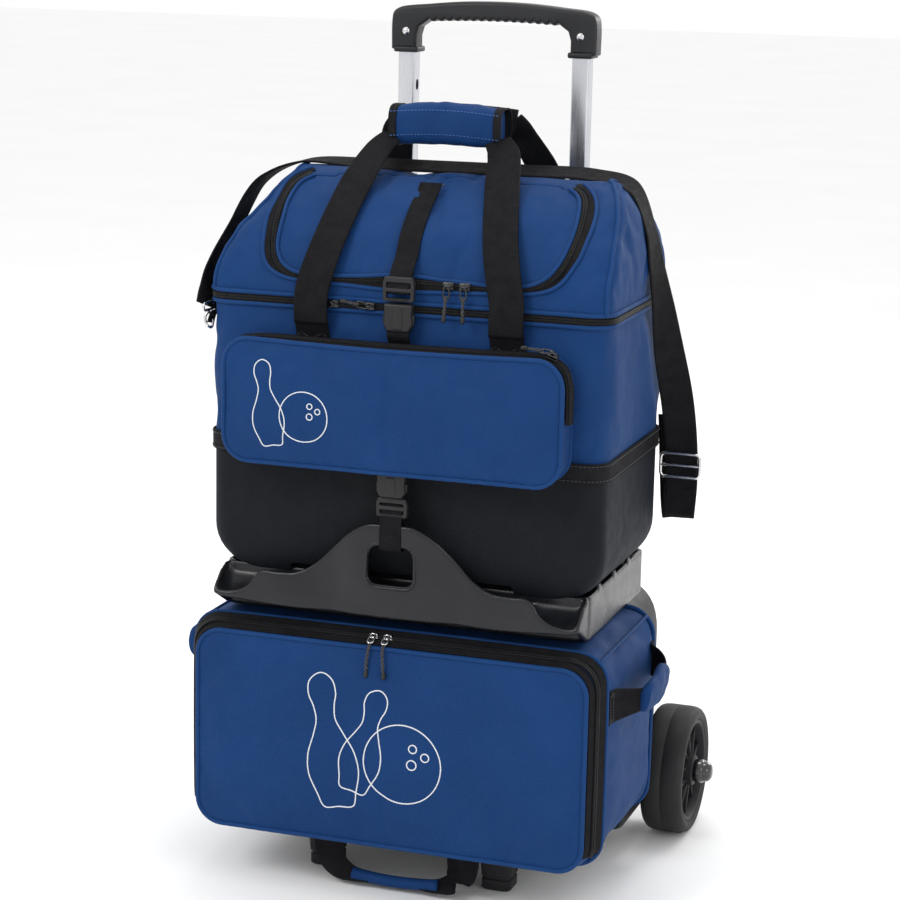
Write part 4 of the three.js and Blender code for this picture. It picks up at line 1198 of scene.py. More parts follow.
def slope_zip(y, lift):
    """A zip's route on the slope, up one side, over the top and down the other, with its directions."""
    edge = smooth_curve([on_slope(x, y, z) for x, _, z in ring_path(*LOWER_FACE, FACE_CORNER, 0)], 8,
                        closed=True)[0]
    kept = [tuple(p) for p in edge if p[2] > 82]
    start = max(range(len(kept)), key=lambda i: np.linalg.norm(np.subtract(kept[i], kept[i - 1])))
    path, across, outward = [], [], []
    for x, depth, z in kept[start:] + kept[:start]:
        cx = min(max(x, LOWER_FACE[0] + FACE_CORNER), LOWER_FACE[1] - FACE_CORNER)
        cz = min(max(z, LOWER_FACE[2] + FACE_CORNER), LOWER_FACE[3] - FACE_CORNER)
        away = unit(np.array((x - cx, 0.0, z - cz)))
        out = away * 0.89 + np.array((0, -0.46, 0))
        across.append(tuple(away * 0.46 + np.array((0, 0.89, 0))))
        outward.append(tuple(out))
        path.append(tuple(np.array((x, depth, z)) + out * lift))
    return path, across, outward


def make_lower_panel():
    face, rings = face_with_skirt("lower_front", LOWER_FACE, FACE_CORNER, (64, 34), FACE_Y,
                                  (-124.5, -119, -113, -109), BLUE,
                                  2.0, on_slope)
    held = [v for ring in rings for v in ring]
    settle(face, held, 5.0, cap=7.5, slack=0.012)
    rumple(face, held, 1.8, 62, 3.0, (0.7, 1, 1.5), 26)
    outline_points = seam_points(face, rings[0])
    subdivided(thick(face, 2.2))
    place(face, "lower_panel", "blue_fabric", "lower_front_panel")
    piping("lower_front_piping", outline_points, 2.6, "lower_panel")
    path, across, _ = slope_zip(-121.0, 1.6)
    place(strap("lower_zip_front", path, 8.5, 1.1, across, TAPE, 4.0), "lower_panel", "black_webbing")
    path, across, outward = slope_zip(-113.6, 1.9)
    coil = long_zip("lower_zip_coil", path, across, outward, 7.0, 5.4, 1.9)
    place(coil, "lower_panel", "black_webbing")
    return face


def make_panel_hem():
    """The sewn hem that the lower front panel folds down on."""
    hem = strap("lower_hem", [(0, y, 67.8) for y in (-94, -98, -101, -104, -108, -114, -121)], 396, 1.4,
                (1, 0, 0), BINDING, 1.5)
    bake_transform(hem)


def make_lower_body():
    back, rings = face_with_skirt("lower_bag", LOWER, LOWER_CORNER, (48, 26), LOWER_BACK_Y,
                                  tuple(np.linspace(84, -88, 13)) + (-95, SLOPE_Y), BLUE)
    held = rings[0] + rings[-1] + rings[-2] + rings[-3]
    settle(back, held, 4.0, cap=5.0, slack=0.01)
    rumple(back, held, 1.5, 58, 8.0, (0.8, 1, 1.3), 26)
    subdivided(thick(back, 2.2))
    place(back, "chassis", "blue_fabric", "lower_bag_body")
    for name, y in (("lower_body_piping", -98.0), ("lower_back_piping", 97.0)):
        path = ring_path(*LOWER, LOWER_CORNER, y, 0.4)
        piping(name, path, 2.5, "chassis", 5.0)
    corner = LOWER_CORNER * (1 - math.sqrt(0.5)) - 0.8
    for side, sign in SIDES:
        edge = [(sign * (LOWER[1] - corner), y, LOWER[3] - corner) for y in (-96, -40, 30, 96)]
        piping(f"lower_corner_seam_{side}", edge, 1.9, "chassis", 5.0, False)
    path, across, _ = slope_zip(-105.4, 1.4)
    place(strap("lower_zip_back", path, 9.5, 1.1, across, TAPE, 4.0), "chassis", "black_webbing")


def make_grab_handle(side, sign):
    web = [(236.2, -91, 240), (236.4, -80, 240), (242, -68, 240), (252, -54, 240), (260, -40, 240),
           (265, 4, 242), (265, 34, 245), (259, 52, 247), (249, 66, 248), (238, 78, 248), (236.4, 93, 248)]
    widths = [38, 38, 35, 29, 25, 24, 25, 29, 34, 37, 37]
    webbing = strap("grab_web", [(sign * x, y, z) for x, y, z in web], widths, 2.4, (0, 0, 1), WEB, 3.0)
    stitched = []
    for y0, y1 in ((-92, -80), (82, 92)):
        corners = [(y0, 226), (y1, 226), (y1, 254), (y0, 254)]
        square = [(sign * 237.8, y, z) for y, z in corners + [corners[0]]]
        for a, b in zip(square, square[1:]):
            stitched.append(stitches("sewn", [a, b], (sign, 0, 0), BLACK_THREAD, 3.6, 2.6, 0.4))
    rings = []
    for t in np.linspace(0, 1, 27):
        y = -46 + 84 * t
        x = 262.5 + 2.6 * math.sin(math.pi * t)
        middle = 240 + 5.5 * t
        pinch = 1 - 0.42 * (2 * t - 1) ** 4
        wrinkle = 1.1 * math.sin(11 * t + 1.0)
        twist = 0.5 - 0.5 * t
        ring = []
        for a in np.linspace(0, 2 * math.pi, 29)[:-1]:
            c, s = math.cos(a), math.sin(a)
            flat = 7.0 * np.sign(c) * abs(c) ** 0.8
            tall = (20.0 * pinch + wrinkle) * np.sign(s) * abs(s) ** 0.75
            ring.append((sign * (x + flat * math.cos(twist) + tall * math.sin(twist) * 0.35),
                         y, middle + tall * math.cos(twist * 0.5)))
        rings.append(ring)
    wrap = recalculated(loft(f"grab_wrap_{side}", rings, BLUE))
    rumple(wrap, [0], 1.2, 16, 3.0 + sign, (1, 0.7, 1), 12)
    place(join(f"grab_web_{side}", [webbing, *stitched]), "chassis", "black_webbing", f"side_handle_{side}")
    place(wrap, "chassis", "blue_fabric")


def make_bottom_grab():
    webs = []
    for sign in (-1, 1):
        route = [(sign * 78, -90, 57), (sign * 78, -89.5, 46), (sign * 76, -89, 31), (sign * 68, -89, 20),
                 (sign * 52, -89.5, 13.5), (sign * 30, -90, 12)]
        across = [(1, 0, 0), (1, 0, 0), (1, 0, 0.3), (0.8, 0.2, 0.8), (0.3, 0.7, 0.9), (0, 1, 0.6)]
        webs.append(strap("bottom_web", route, [37, 37, 34, 27, 18, 14], 2.4, across, WEB, 3.0))
    place(join("bottom_grab_web", webs), "bottom_handle", "black_webbing", "bottom_handle")
    wrap = sweep("bottom_grab_wrap", [(-50, -90.6, 14.6), (-30, -90, 12.4), (0, -90, 11.2), (30, -90, 12.4),
                                      (50, -90.6, 14.6)], 6.6, BLUE, 18, 3.0)
    place(wrap, "bottom_handle", "blue_fabric")


make_tray()
make_buckles()
lower_front = make_lower_panel()
make_panel_hem()
make_lower_body()
for side, sign in SIDES:
    make_grab_handle(side, sign)
make_bottom_grab()


# ---------------------------------------------------------------- tote
TOTE = (-222.0, -95.0, 222.0, 147.0)


def tote_ring(out, z, radius=TOTE_CORNER, side_x=48, side_y=26, corner=6):
    x0, y0, x1, y1 = TOTE
    return ring_of(rounded_ring(x0 - out, y0 - out, x1 + out, y1 + out, radius + out, side_x, side_y,
                                corner), z)


def trim_ring(out, z):
    """A coarser ring round the tote, for piping, stitches and zips."""
    return tote_ring(out, z, TOTE_CORNER, 12, 8, 5)


def ring_outward(path):
    """Directions away from the tote's rounded plan, for points round it."""
    out = []
    for x, y, _ in path:
        cx = min(max(x, TOTE[0] + TOTE_CORNER), TOTE[2] - TOTE_CORNER)
        cy = min(max(y, TOTE[1] + TOTE_CORNER), TOTE[3] - TOTE_CORNER)
        d = np.array((x - cx, y - cy, 0.0))
        out.append(tuple(d / max(np.linalg.norm(d), 1e-6)))
    return out


def tub_inset(z):
    """How far the tub's lower corners come in at height z, from the sides and from the front."""
    lift = max(0.0, 398.0 - z)
    inset = TUB_CURVE - math.sqrt(max(0.0, TUB_CURVE ** 2 - lift ** 2))
    return min(inset, float(TUB_CURVE)), min(inset * 0.34, 16.0)


def tub_ring(z, wall=0.0):
    side, front = (value + wall for value in tub_inset(z))
    return ring_of(rounded_ring(-222 + side, -95 + front, 222 - side, 147 - front, 24 - wall, 40, 20, 6), z)


def make_tote_base():
    """A moulded tub with rounded lower corners and a recess under its front."""
    heights = [348, 348.4, 350, 353, 357, 362, 368, 375, 383, 391, 399, 410, 430, 450, 470, 488]
    tub = recalculated(loft("tub", [tub_ring(z) for z in heights], BASE, True, True))
    cut_out(tub, rounded_box("recess", (-128, -130, 340), (126, -78, 362), 5, BASE))
    mesh = bmesh.new()
    mesh.from_mesh(tub.data)
    lid = [f for f in mesh.faces if f.calc_center_median().z > 0.4879 and abs(f.normal.z) > 0.9]
    bmesh.ops.delete(mesh, geom=lid, context="FACES")
    mesh.to_mesh(tub.data)
    mesh.free()
    place(sharp_shading(thick(tub, 2.4), 50), "tote", "black_mould", "tote_base")


def make_tote_walls():
    levels = [488, 491] + list(np.linspace(496, 640, 17)) + [643.5, 646]
    rings = []
    for z in levels:
        t = (z - 491) / 155
        rings.append(tote_ring(0.8 * math.sin(math.pi * max(0, t)), z))
    walls = loft("tote_walls", rings, BLUE, False, False)
    around = len(rings[0])
    last = (len(levels) - 1) * around
    held = list(range(4 * around)) + list(range(last - 2 * around, last + around))
    corners = [k for level in range(len(levels)) for k in range(level * around, (level + 1) * around)
               if (k % around) in (48 + 3, 48 + 6 + 26 + 3, 96 + 12 + 26 + 3 - 6, around - 3)]
    recalculated(walls)
    settle(walls, held + corners, 3.0, cap=3.6, slack=0.012)
    rumple(walls, held, 1.5, 60, 21.0, (0.9, 0.9, 1.6), 24)
    subdivided(thick(walls, 2.4))
    place(walls, "tote", "blue_fabric", "tote_body")
    heights = [364, 368, 375, 383, 391, 399, 450, 500, 560, 643]
    lining = loft("tote_lining", [tub_ring(z, 5.0) for z in heights], LINING, False, False)
    place(subdivided(thick(recalculated(lining), 1.5)), "tote", "foam")


def make_tote_trim():
    band = strap("tote_binding", trim_ring(1.9, 492), 21, 2.6, (0, 0, 1), BINDING, 4.0, closed=True)
    place(band, "tote", "black_webbing", "tote_band")
    for name, z in (("binding_stitch_low", 484.2), ("binding_stitch_high", 499.8)):
        path = trim_ring(3.4, z)
        place(stitches(name, path, ring_outward(path), BLACK_THREAD, 4.4, 3.0, 0.42, True), "tote",
              "black_webbing")
    piping("tote_rim_piping", trim_ring(1.6, 645.0), 2.5, "tote")


def make_rim_zip():
    path = trim_ring(2.2, 651.0)
    strip = long_zip("rim_zip", path, (0, 0, 1), ring_outward(path), 9.5, 4.8, 1.9, closed=True)
    place(strip, "lid", "black_webbing", "main_zipper")
    piping("lid_rim_piping", trim_ring(2.6, 657.4), 2.5, "lid")


def make_pocket():
    box = (-187.0, 187.0, 482.0, 612.0)
    face, rings = face_with_skirt("pocket", box, 28, (56, 24), -135, (-131, -124, -115, -106, -98.4),
                                  BLUE, 2.0)
    p = millimetres(face)
    top = np.clip((p[:, 2] - 585) / 27, 0, 1)
    p[:, 2] += top * (-2.2 * np.cos(p[:, 0] / 187 * 2.2) + 1.2)
    set_millimetres(face, p)
    held = [v for ring in rings for v in ring]
    settle(face, held, 6.0, cap=8.0, slack=0.02)
    rumple(face, held, 2.0, 50, 5.0, (0.6, 1, 1.6), 22)
    edge = seam_points(face, rings[0])
    back_edge = seam_points(face, rings[-1])
    subdivided(thick(face, 2.2))
    p = millimetres(face)
    p[:, 1] = np.maximum(p[:, 1], -144.5)
    set_millimetres(face, p)
    place(face, "tote", "blue_fabric", "front_pocket")
    piping("pocket_piping", edge, 2.5, "tote")
    piping("pocket_back_piping", back_edge + (0, -1.0, 0), 2.0, "tote", 5.0)
    path = [(x, -121.5, z + 3.2) for x, z in
            [(-172, 608.5), (-150, 611.6), (-90, 611.6), (0, 611.2), (90, 611.8), (158, 612.6),
             (173, 609.6)]]
    path += [(185.0, -121.5, 604), (190.4, -121.5, 588), (191.2, -121.5, 570), (191.2, -121.5, 548)]
    out = [(-0.4, -0.4, 1)] + [(0, -0.4, 1)] * 4 + [(0.15, -0.4, 1), (0.5, -0.4, 0.86), (0.86, -0.4, 0.5)]
    out += [(1, -0.4, 0)] * 3
    across = [tuple(unit(np.array((0.4 * x, 1.0, 0.4 * z)))) for x, _, z in out]
    place(long_zip("pocket_zip", path, across, out, 13, 5.0, 1.9), "tote", "black_webbing")
    return face


# ---------------------------------------------------------------- lid
# Height, left and right half width, front and back of the dome.
DOME = [
    (656.6, 223.4, 224.4, -97.0, 148.4), (668, 222.6, 224.6, -97.0, 148.4),
    (685, 219.6, 224.0, -93.6, 146.0),
    (702, 215.0, 223.0, -81.0, 138.0), (718, 207.0, 221.6, -69.5, 127.5), (733, 198.0, 219.6, -53.0, 113.0),
    (748, 189.0, 216.4, -36.0, 96.0), (762, 181.0, 211.4, -19.5, 80.0), (773, 174.0, 203.6, 1.0, 62.0),
    (779, 168.0, 195.0, 17.0, 47.0), (781.6, 162.0, 187.0, 27.0, 38.0),
]
DOME_SIDE_X, DOME_SIDE_Y, DOME_CORNER = 72, 28, 6


def dome_rings():
    table = np.array(DOME)
    path, even, marks = smooth_curve([(r[3], r[0], 0) for r in DOME], 6.4)
    columns = [np.interp(even, marks[:len(DOME)], table[:, k]) for k in range(5)]
    rings = []
    for z, left, right, front, back in zip(path[:, 1], columns[1], columns[2], path[:, 0], columns[4]):
        radius = min(22.0, 0.42 * (back - front))
        rings.append(ring_of(rounded_ring(-left, front, right, back, radius, DOME_SIDE_X, DOME_SIDE_Y,
                                          DOME_CORNER), z))
    return rings


def flap_edge(grow=0.0):
    """The shoe flap's zip line on the front of the dome, as x and z."""
    points = [(-136, 774), (-152.5, 768), (-157, 742), (-155, 706), (-149, 690), (-136, 681.6),
              (-116, 677.4), (-60, 677.6), (0, 678.6), (60, 678.4), (116, 678.4), (142, 680.6), (160, 689),
              (174, 706), (180, 728), (178, 750), (168, 768), (152, 774)]
    centre = np.array((8.0, 728.0))
    out = []
    for q in points:
        d = np.array(q) - centre
        out.append(tuple(centre + d * (1 + grow / np.linalg.norm(d))))
    return out


def inside(point, polygon):
    x, z = point
    hit = False
    for (x0, z0), (x1, z1) in zip(polygon, polygon[1:] + polygon[:1]):
        if (z0 > z) != (z1 > z) and x < (x1 - x0) * (z - z0) / (z1 - z0) + x0:
            hit = not hit
    return hit


def drape(points, tree, lift):
    """Points moved onto the nearest place of a surface and lifted off it, and its directions there."""
    placed, facing = [], []
    for p in points:
        q = Vector(p) / 1000 + Vector((0, BAG_Y / 1000, 0))
        spot, normal, _, _ = tree.find_nearest(q)
        if normal.dot(Vector((spot.x * 0.2, spot.y - 0.02, spot.z - 0.6))) < 0:
            normal = -normal
        facing.append(tuple(normal))
        spot = spot + normal * (lift / 1000)
        placed.append((spot.x * 1000, spot.y * 1000 - BAG_Y, spot.z * 1000))
    return eased(placed), eased(facing)


def eased(points, rounds=3):
    """A row of points with its small wobbles taken out, its ends kept."""
    row = np.array(points)
    for _ in range(rounds if len(row) > 4 else 0):
        row[1:-1] = (row[:-2] + 2 * row[1:-1] + row[2:]) / 4
    return [tuple(p) for p in row]


def front_of_dome(z):
    heights = [r[0] for r in DOME]
    return float(np.interp(z, heights, [r[3] for r in DOME]))


def surface_tree(thing):
    thing.data.calc_loop_triangles()
    points = [v.co.copy() for v in thing.data.vertices]
    return BVHTree.FromPolygons(points, [tuple(t.vertices) for t in thing.data.loop_triangles])


def make_dome():
    rings = dome_rings()
    around = len(rings[0])
    shell = loft("dome", rings, BLUE, False, False)
    points = millimetres(shell)
    faces = [tuple(p.vertices) for p in shell.data.polygons]
    top = (len(rings) - 1) * around
    for k in range(DOME_SIDE_X):
        back = top + DOME_SIDE_X + 2 * DOME_CORNER + DOME_SIDE_Y + (DOME_SIDE_X - k)
        faces.append((top + k, top + k + 1, back - 1, back))
    side = DOME_SIDE_Y + 2 * DOME_CORNER
    faces.append(tuple(top + DOME_SIDE_X + k for k in range(side + 1)))
    faces.append(tuple(top + (2 * DOME_SIDE_X + side + k) % around for k in range(side + 1)))
    bpy.data.objects.remove(shell)
    shell = recalculated(build("dome", points, faces, BLUE))
    seams = dome_seams(rings)
    held = set(range(2 * around)) | {v for seam in seams for v in seam}
    settle(shell, held, 5.5, cap=9.0, slack=0.02)
    rumple(shell, held, 2.6, 62, 13.0, (0.8, 0.9, 1.3), 22)
    return shell, [seam_points(shell, seam, 0.4) for seam in seams]


def dome_seams(rings):
    """The two end panels' seams: up the front corner of each ring, over the ridge and down the back one."""
    around = len(rings[0])
    half = DOME_CORNER // 2
    columns = [(DOME_SIDE_X + half, DOME_SIDE_X + DOME_CORNER + DOME_SIDE_Y + half),
               (around - half, 2 * DOME_SIDE_X + 2 * DOME_CORNER + DOME_SIDE_Y + half)]
    out = []
    for front, back in columns:
        up = [level * around + front % around for level in range(len(rings))]
        down = [level * around + back for level in reversed(range(len(rings)))]
        out.append(up + down)
    return out


def split_flap(shell):
    """The dome as two meshes: the lid round the zip line, and the flap inside it."""
    polygon = [tuple(q[:2]) for q in smooth_curve([(x, z, 0) for x, z in flap_edge()], 5, closed=True)[0]]
    p = millimetres(shell)
    flap_faces, lid_faces = [], []
    for face in shell.data.polygons:
        centre = p[list(face.vertices)].mean(0)
        on_front = centre[1] < 12 and inside((centre[0], centre[2]), polygon)
        (flap_faces if on_front else lid_faces).append(tuple(face.vertices))
    out = []
    for name, faces in (("lid_fabric", lid_faces), ("flap_fabric", flap_faces)):
        used = sorted({v for f in faces for v in f})
        renumber = {v: i for i, v in enumerate(used)}
        mesh = build(name, p[used], [tuple(renumber[v] for v in f) for f in faces], BLUE)
        out.append(recalculated_outwards(mesh))
    return out


def recalculated_outwards(thing):
    """Faces turned away from the inside of the lid."""
    mesh = bmesh.new()
    mesh.from_mesh(thing.data)
    bmesh.ops.recalc_face_normals(mesh, faces=mesh.faces)
    mesh.normal_update()
    middle = Vector((0, (20 + BAG_Y) / 1000, 0.66))
    score = sum(f.normal.dot(f.calc_center_median() - middle) * f.calc_area() for f in mesh.faces)
    if score < 0:
        bmesh.ops.reverse_faces(mesh, faces=mesh.faces)
    mesh.to_mesh(thing.data)
    mesh.free()
    return thing


def make_lid():
    shell, seams = make_dome()
    tree = surface_tree(shell)
    lid, flap = split_flap(shell)
    bpy.data.objects.remove(shell)
    for thing in (lid, flap):
        subdivided(thick(thing, 2.4))
    place(lid, "lid", "blue_fabric", "lid_shell")
    place(flap, "flap", "blue_fabric", "shoe_flap")
    for side, seam in zip(("right", "left"), seams):
        path = [tuple(p) for p in seam]
        piping(f"dome_piping_{side}", path, 2.3, "lid", 4.0, False)
    for name, grow, lift, body, kind in (("flap_piping", -7.0, 1.6, "flap", "piping"),
                                         ("flap_zip", -1.5, 1.0, "flap", "zip"),
                                         ("flap_zip_tape", 5.0, 1.0, "lid", "tape"),
                                         ("flap_surround_piping", 9.5, 1.4, "lid", "piping")):
        route = smooth_curve([(x, front_of_dome(z) - 1, z) for x, z in flap_edge(grow)], 7.0)[0]
        if grow < 0:
            route = route[1:-1]
        path, facing = drape(route, tree, lift)
        if kind == "piping":
            piping(name, path, 2.1, body, 4.0, False)
        else:
            along = tangents(np.array(path))
            across = [tuple(v) for v in unit(np.cross(along, np.array(facing)))]
            width = 8.0 if kind == "zip" else 6.5
            zip_strip = long_zip(name, path, across, facing, width, 4.6, 1.9, coil=kind == "zip")
            place(zip_strip, body, "black_webbing")
    return tree


# ---------------------------------------------------------------- webs and the carry handle
FRONT_WEB = [(108, -109.2, 645), (107.6, -107.6, 664), (101, -101.5, 693), (93, -80.6, 725),
             (81, -28.6, 775), (70, 16, 807), (60, 27, 818)]
BACK_WEB = [(108, 150.6, 606), (108, 151.6, 627), (107, 152.6, 664), (104, 150, 700), (97, 136, 744),
            (84, 106, 790), (71, 80, 820), (60, 73, 834)]


def mirrored(route, sign):
    return [(sign * x, y, z) for x, y, z in route]


def leaning(route, sign):
    """A front web's route on one side. Both webs stand a little to the right at their lower ends."""
    return [(sign * x + 9 * min(1.0, max(0.0, (810 - z) / 110)), y, z) for x, y, z in route]


def sewn_box(name, x, half, y, z0, z1, facing=-1):
    corners = [(x - half, y, z0), (x + half, y, z0), (x + half, y, z1), (x - half, y, z1),
               (x - half, y, z0)]
    lines = list(zip(corners, corners[1:])) + [(corners[0], corners[2]), (corners[1], corners[3])]
    rows = [stitches(name, [a, b], (0, facing, 0), BLACK_THREAD, 3.6, 2.6, 0.42) for a, b in lines]
    return join(name, rows)


def make_carry_webs():
    for side, sign in SIDES:
        patch = leaning([(108, -98.6, 604), (108, -99.6, 609), (108, -101.4, 618), (108, -104.6, 627),
                         (108, -107.6, 636)], sign)
        lower = strap(f"front_patch_{side}", patch, 38, 2.6, (1, 0, 0), WEB, 3.0)
        lower = join(f"front_patch_{side}", [lower, sewn_box("sewn", sign * 108 + 8, 15, -102.6, 607, 620)])
        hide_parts(f"front_loop_tab_{side}")
        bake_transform(lower)
        upper_route = [(108, -108.0, 630), (108, -109.0, 638)] + FRONT_WEB
        count = len(upper_route)
        across = [(1, 0, 0)] * (count - 2) + [(1, 0.15, 0), (0.9, 0.3, 0.1)]
        widths = [38] * (count - 2) + [35, 29]
        upper = strap(f"front_web_{side}", leaning(upper_route, sign), widths, 2.6,
                      [(sign * a, b * 1.0, c) for a, b, c in across], WEB, 3.5)
        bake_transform(upper)
        back_across = [(1, 0, 0)] * (len(BACK_WEB) - 1) + [(0.9, 0.3, 0.2)]
        back = strap(f"back_web_{side}", mirrored(BACK_WEB, sign), [38] * (len(BACK_WEB) - 2) + [36, 30],
                     2.6, [(sign * a, b, c) for a, b, c in back_across], WEB, 3.5)
        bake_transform(back)
        place(sewn_box(f"back_sewn_{side}", sign * 108, 15, 153.2, 610, 636, 1), "tote", "black_webbing")
    top = strap("back_grip_web", [(-66, 73, 836), (-40, 73.6, 839), (0, 74, 840), (40, 73.6, 839),
                                  (66, 73, 836)],
                [26, 24, 24, 24, 26], 4.6, (0, 0.1, 1), WEB, 4.0)
    place(top, "back_loop", "black_webbing", "back_carry_loop")


def wrap_section(x, grow=0.0, count=40):
    """One slice of the padded carry wrap at x: a rounded block that thins towards its ends."""
    end = abs(x) / 62
    squeeze = 1 - 0.1 * end ** 4
    half_y, half_z = 21.5 * squeeze + grow, 22.5 * squeeze + grow
    rise = 3.4 * math.cos(end * math.pi / 2)
    points = []
    for k in range(count):
        a = 2 * math.pi * k / count
        c, s = math.cos(a), math.sin(a)
        y = 45 + half_y * math.copysign(abs(c) ** 0.62, c)
        z = 829.5 + rise + half_z * math.copysign(abs(s) ** 0.62, s)
        points.append((x, y, z))
    return points


def make_carry_wrap():
    xs = np.linspace(-58, 58, 35)
    rings = [wrap_section(x) for x in xs]
    wrap = recalculated(loft("carry_wrap", rings, BLUE, True, True))
    count = 40
    ends = [k for ring in (0, 1, len(xs) - 2, len(xs) - 1) for k in range(ring * count, (ring + 1) * count)]
    rumple(wrap, ends, 1.6, 26, 2.0, (1.4, 1, 1), 10)
    place(subdivided(wrap), "front_loop", "blue_fabric", "front_carry_loop")
    trims = []
    for sign in (-1, 1):
        path = wrap_section(sign * 59.5, 0.8, 28)
        trims.append(strap("end_binding", path, 9, 2.2, (1, 0, 0), BINDING, 3.0, closed=True))
    for y, z in ((23.2, 819), (23.4, 845)):
        line = [(x, y - 0.4, z + 3.4 * math.cos(x / 62 * math.pi / 2)) for x in np.linspace(-60, 60, 13)]
        trims.append(stitches("wrap_stitch", line, (0, -1, 0), BLUE_THREAD, 4.0, 2.8, 0.4))
    place(join("carry_wrap_binding", trims), "front_loop", "black_webbing")


STRAP_ROUTE = [
    (-229, -82, 636), (-231, -74, 652), (-231, -62, 676), (-221, -30, 716), (-204, 14, 765),
    (-168, 40, 784.5), (-90, 46, 785), (0, 48, 785.5), (90, 48, 786), (160, 48, 785.5), (206, 45, 775),
    (227, 46, 730), (233, 54, 690), (238, 62, 655), (243, 80, 600), (249, 108, 535), (252, 122, 484),
    (252.5, 126, 458), (251.5, 131, 436), (247, 143, 402), (244.5, 153, 396), (241, 158, 408),
    (239.5, 154, 440), (238, 148, 490), (237.4, 144, 514),
]
STRAP_ACROSS = ([(0.3, 1, 0), (0.15, 1, 0)] + [(0, 1, 0)] * 4 + [(0, 1, 0.25)] * 5 + [(0.05, 1, 0),
                                                                                      (0.2, 1, 0),
                                                                                      (0.4, 1, 0),
                                                                                      (0.75, 0.75, 0),
                                                              (0.95, 0.4, 0)] + [(1, 0.12, 0)] * 9)


def make_shoulder_strap():
    route = strap("shoulder_web", STRAP_ROUTE, 36, 2.3, STRAP_ACROSS, WEB, 4.0)
    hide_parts("shoulder_strap")
    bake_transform(route)


def wire(name, points, radius, closed=True, material=NICKEL):
    return sweep(name, points, radius, material, 12, 1.5, closed=closed)


def make_strap_hardware():
    edge = slab_outline([(-22, -13), (22, -13), (22, 13), (-22, 13)], 6)
    ring = wire("adjuster", [(252 + x, 119.8, 462 + z) for x, z in edge], 1.9)
    bar = wire("adjuster_bar", [(229, 119.6, 462), (240, 119.6, 462), (264, 119.6, 462),
                                (275, 119.6, 462)], 1.7, False)
    place(join("strap_adjuster_frame", [ring, bar]), "tote", "steel", "strap_adjuster")
    for side, x, y, z, high, nodes in (("left", -228, -82, 622, 636, "strap_hook_left"),
                                       ("right", 237.2, 144, 520, 513, "strap_hook_right")):
        loop_edge = slab_outline([(-10, -4), (10, -4), (10, 4), (-10, 4)], 3.4)
        loop = wire("loop", [(x + (a if side == "right" else 0.15 * a), y + (0 if side == "right" else a),
                              high + b)
                             for a, b in loop_edge], 1.6)
        hook = wire("hook", [(x, y, z + 8), (x - 3, y - 3, z + 2), (x, y - 4, z - 7), (x + 3, y, z - 9),
                             (x + 3.4, y + 3, z - 2), (x, y + 2, z + 6)], 1.7)
        tab = strap("tab", [(x * 0.99, y, z - 4), (x * 0.985, y + 1, z + 2), (x * 0.97, y + 1, z + 10)],
                    18, 1.8, (0, 1, 0) if side == "left" else (0.7, 0.7, 0), WEB, 2.5)
        place(tab, "tote", "black_webbing")
        place(join(f"strap_snap_{side}", [loop, hook]), "tote", "steel", nodes)


def make_centre_strap(tree):
    heights = np.linspace(768, 704, 9)
    spots = [spot for x in (-11, 0, 11) for spot in drape([(x, front_of_dome(z), z) for z in heights],
                                                          tree, 0.0)[0]]
    slope = np.polyfit([p[2] for p in spots], [p[1] for p in spots], 2)
    ahead = max(float(np.polyval(slope, p[2])) - p[1] for p in spots) + 1.8
    path = [(0, float(np.polyval(slope, z)) - ahead, z) for z in (768, 752, 736, 720, 706)]
    path = [(0, path[0][1] + 7.0, 774.0)] + path + [(0, -99, 694), (0, -108, 682), (0, -112.5, 675),
                                                    (0, -110, 668), (0, -105, 672),
                                      (0, -98.5, 690)]
    web = strap("centre_web", path, 25, 2.0, (1, 0, 0), WEB, 3.0)
    stitched = sewn_box("sewn", 0, 9.5, -12.5, 757, 770)
    p = millimetres(stitched)
    p[:, 1] += (p[:, 2] - 757) * 1.16 - 4.6
    p[:, 2] += 1.4
    set_millimetres(stitched, p)
    place(join("centre_web", [web, stitched]), "flap", "black_webbing", "lid_strap")
    tail = strap("centre_tail", [(0, -109, 632), (0, -111, 624), (0, -106, 616), (0, -100.5, 604)], 25,
                 2.2, (1, 0, 0), WEB, 3.0)
    place(tail, "tote", "black_webbing")


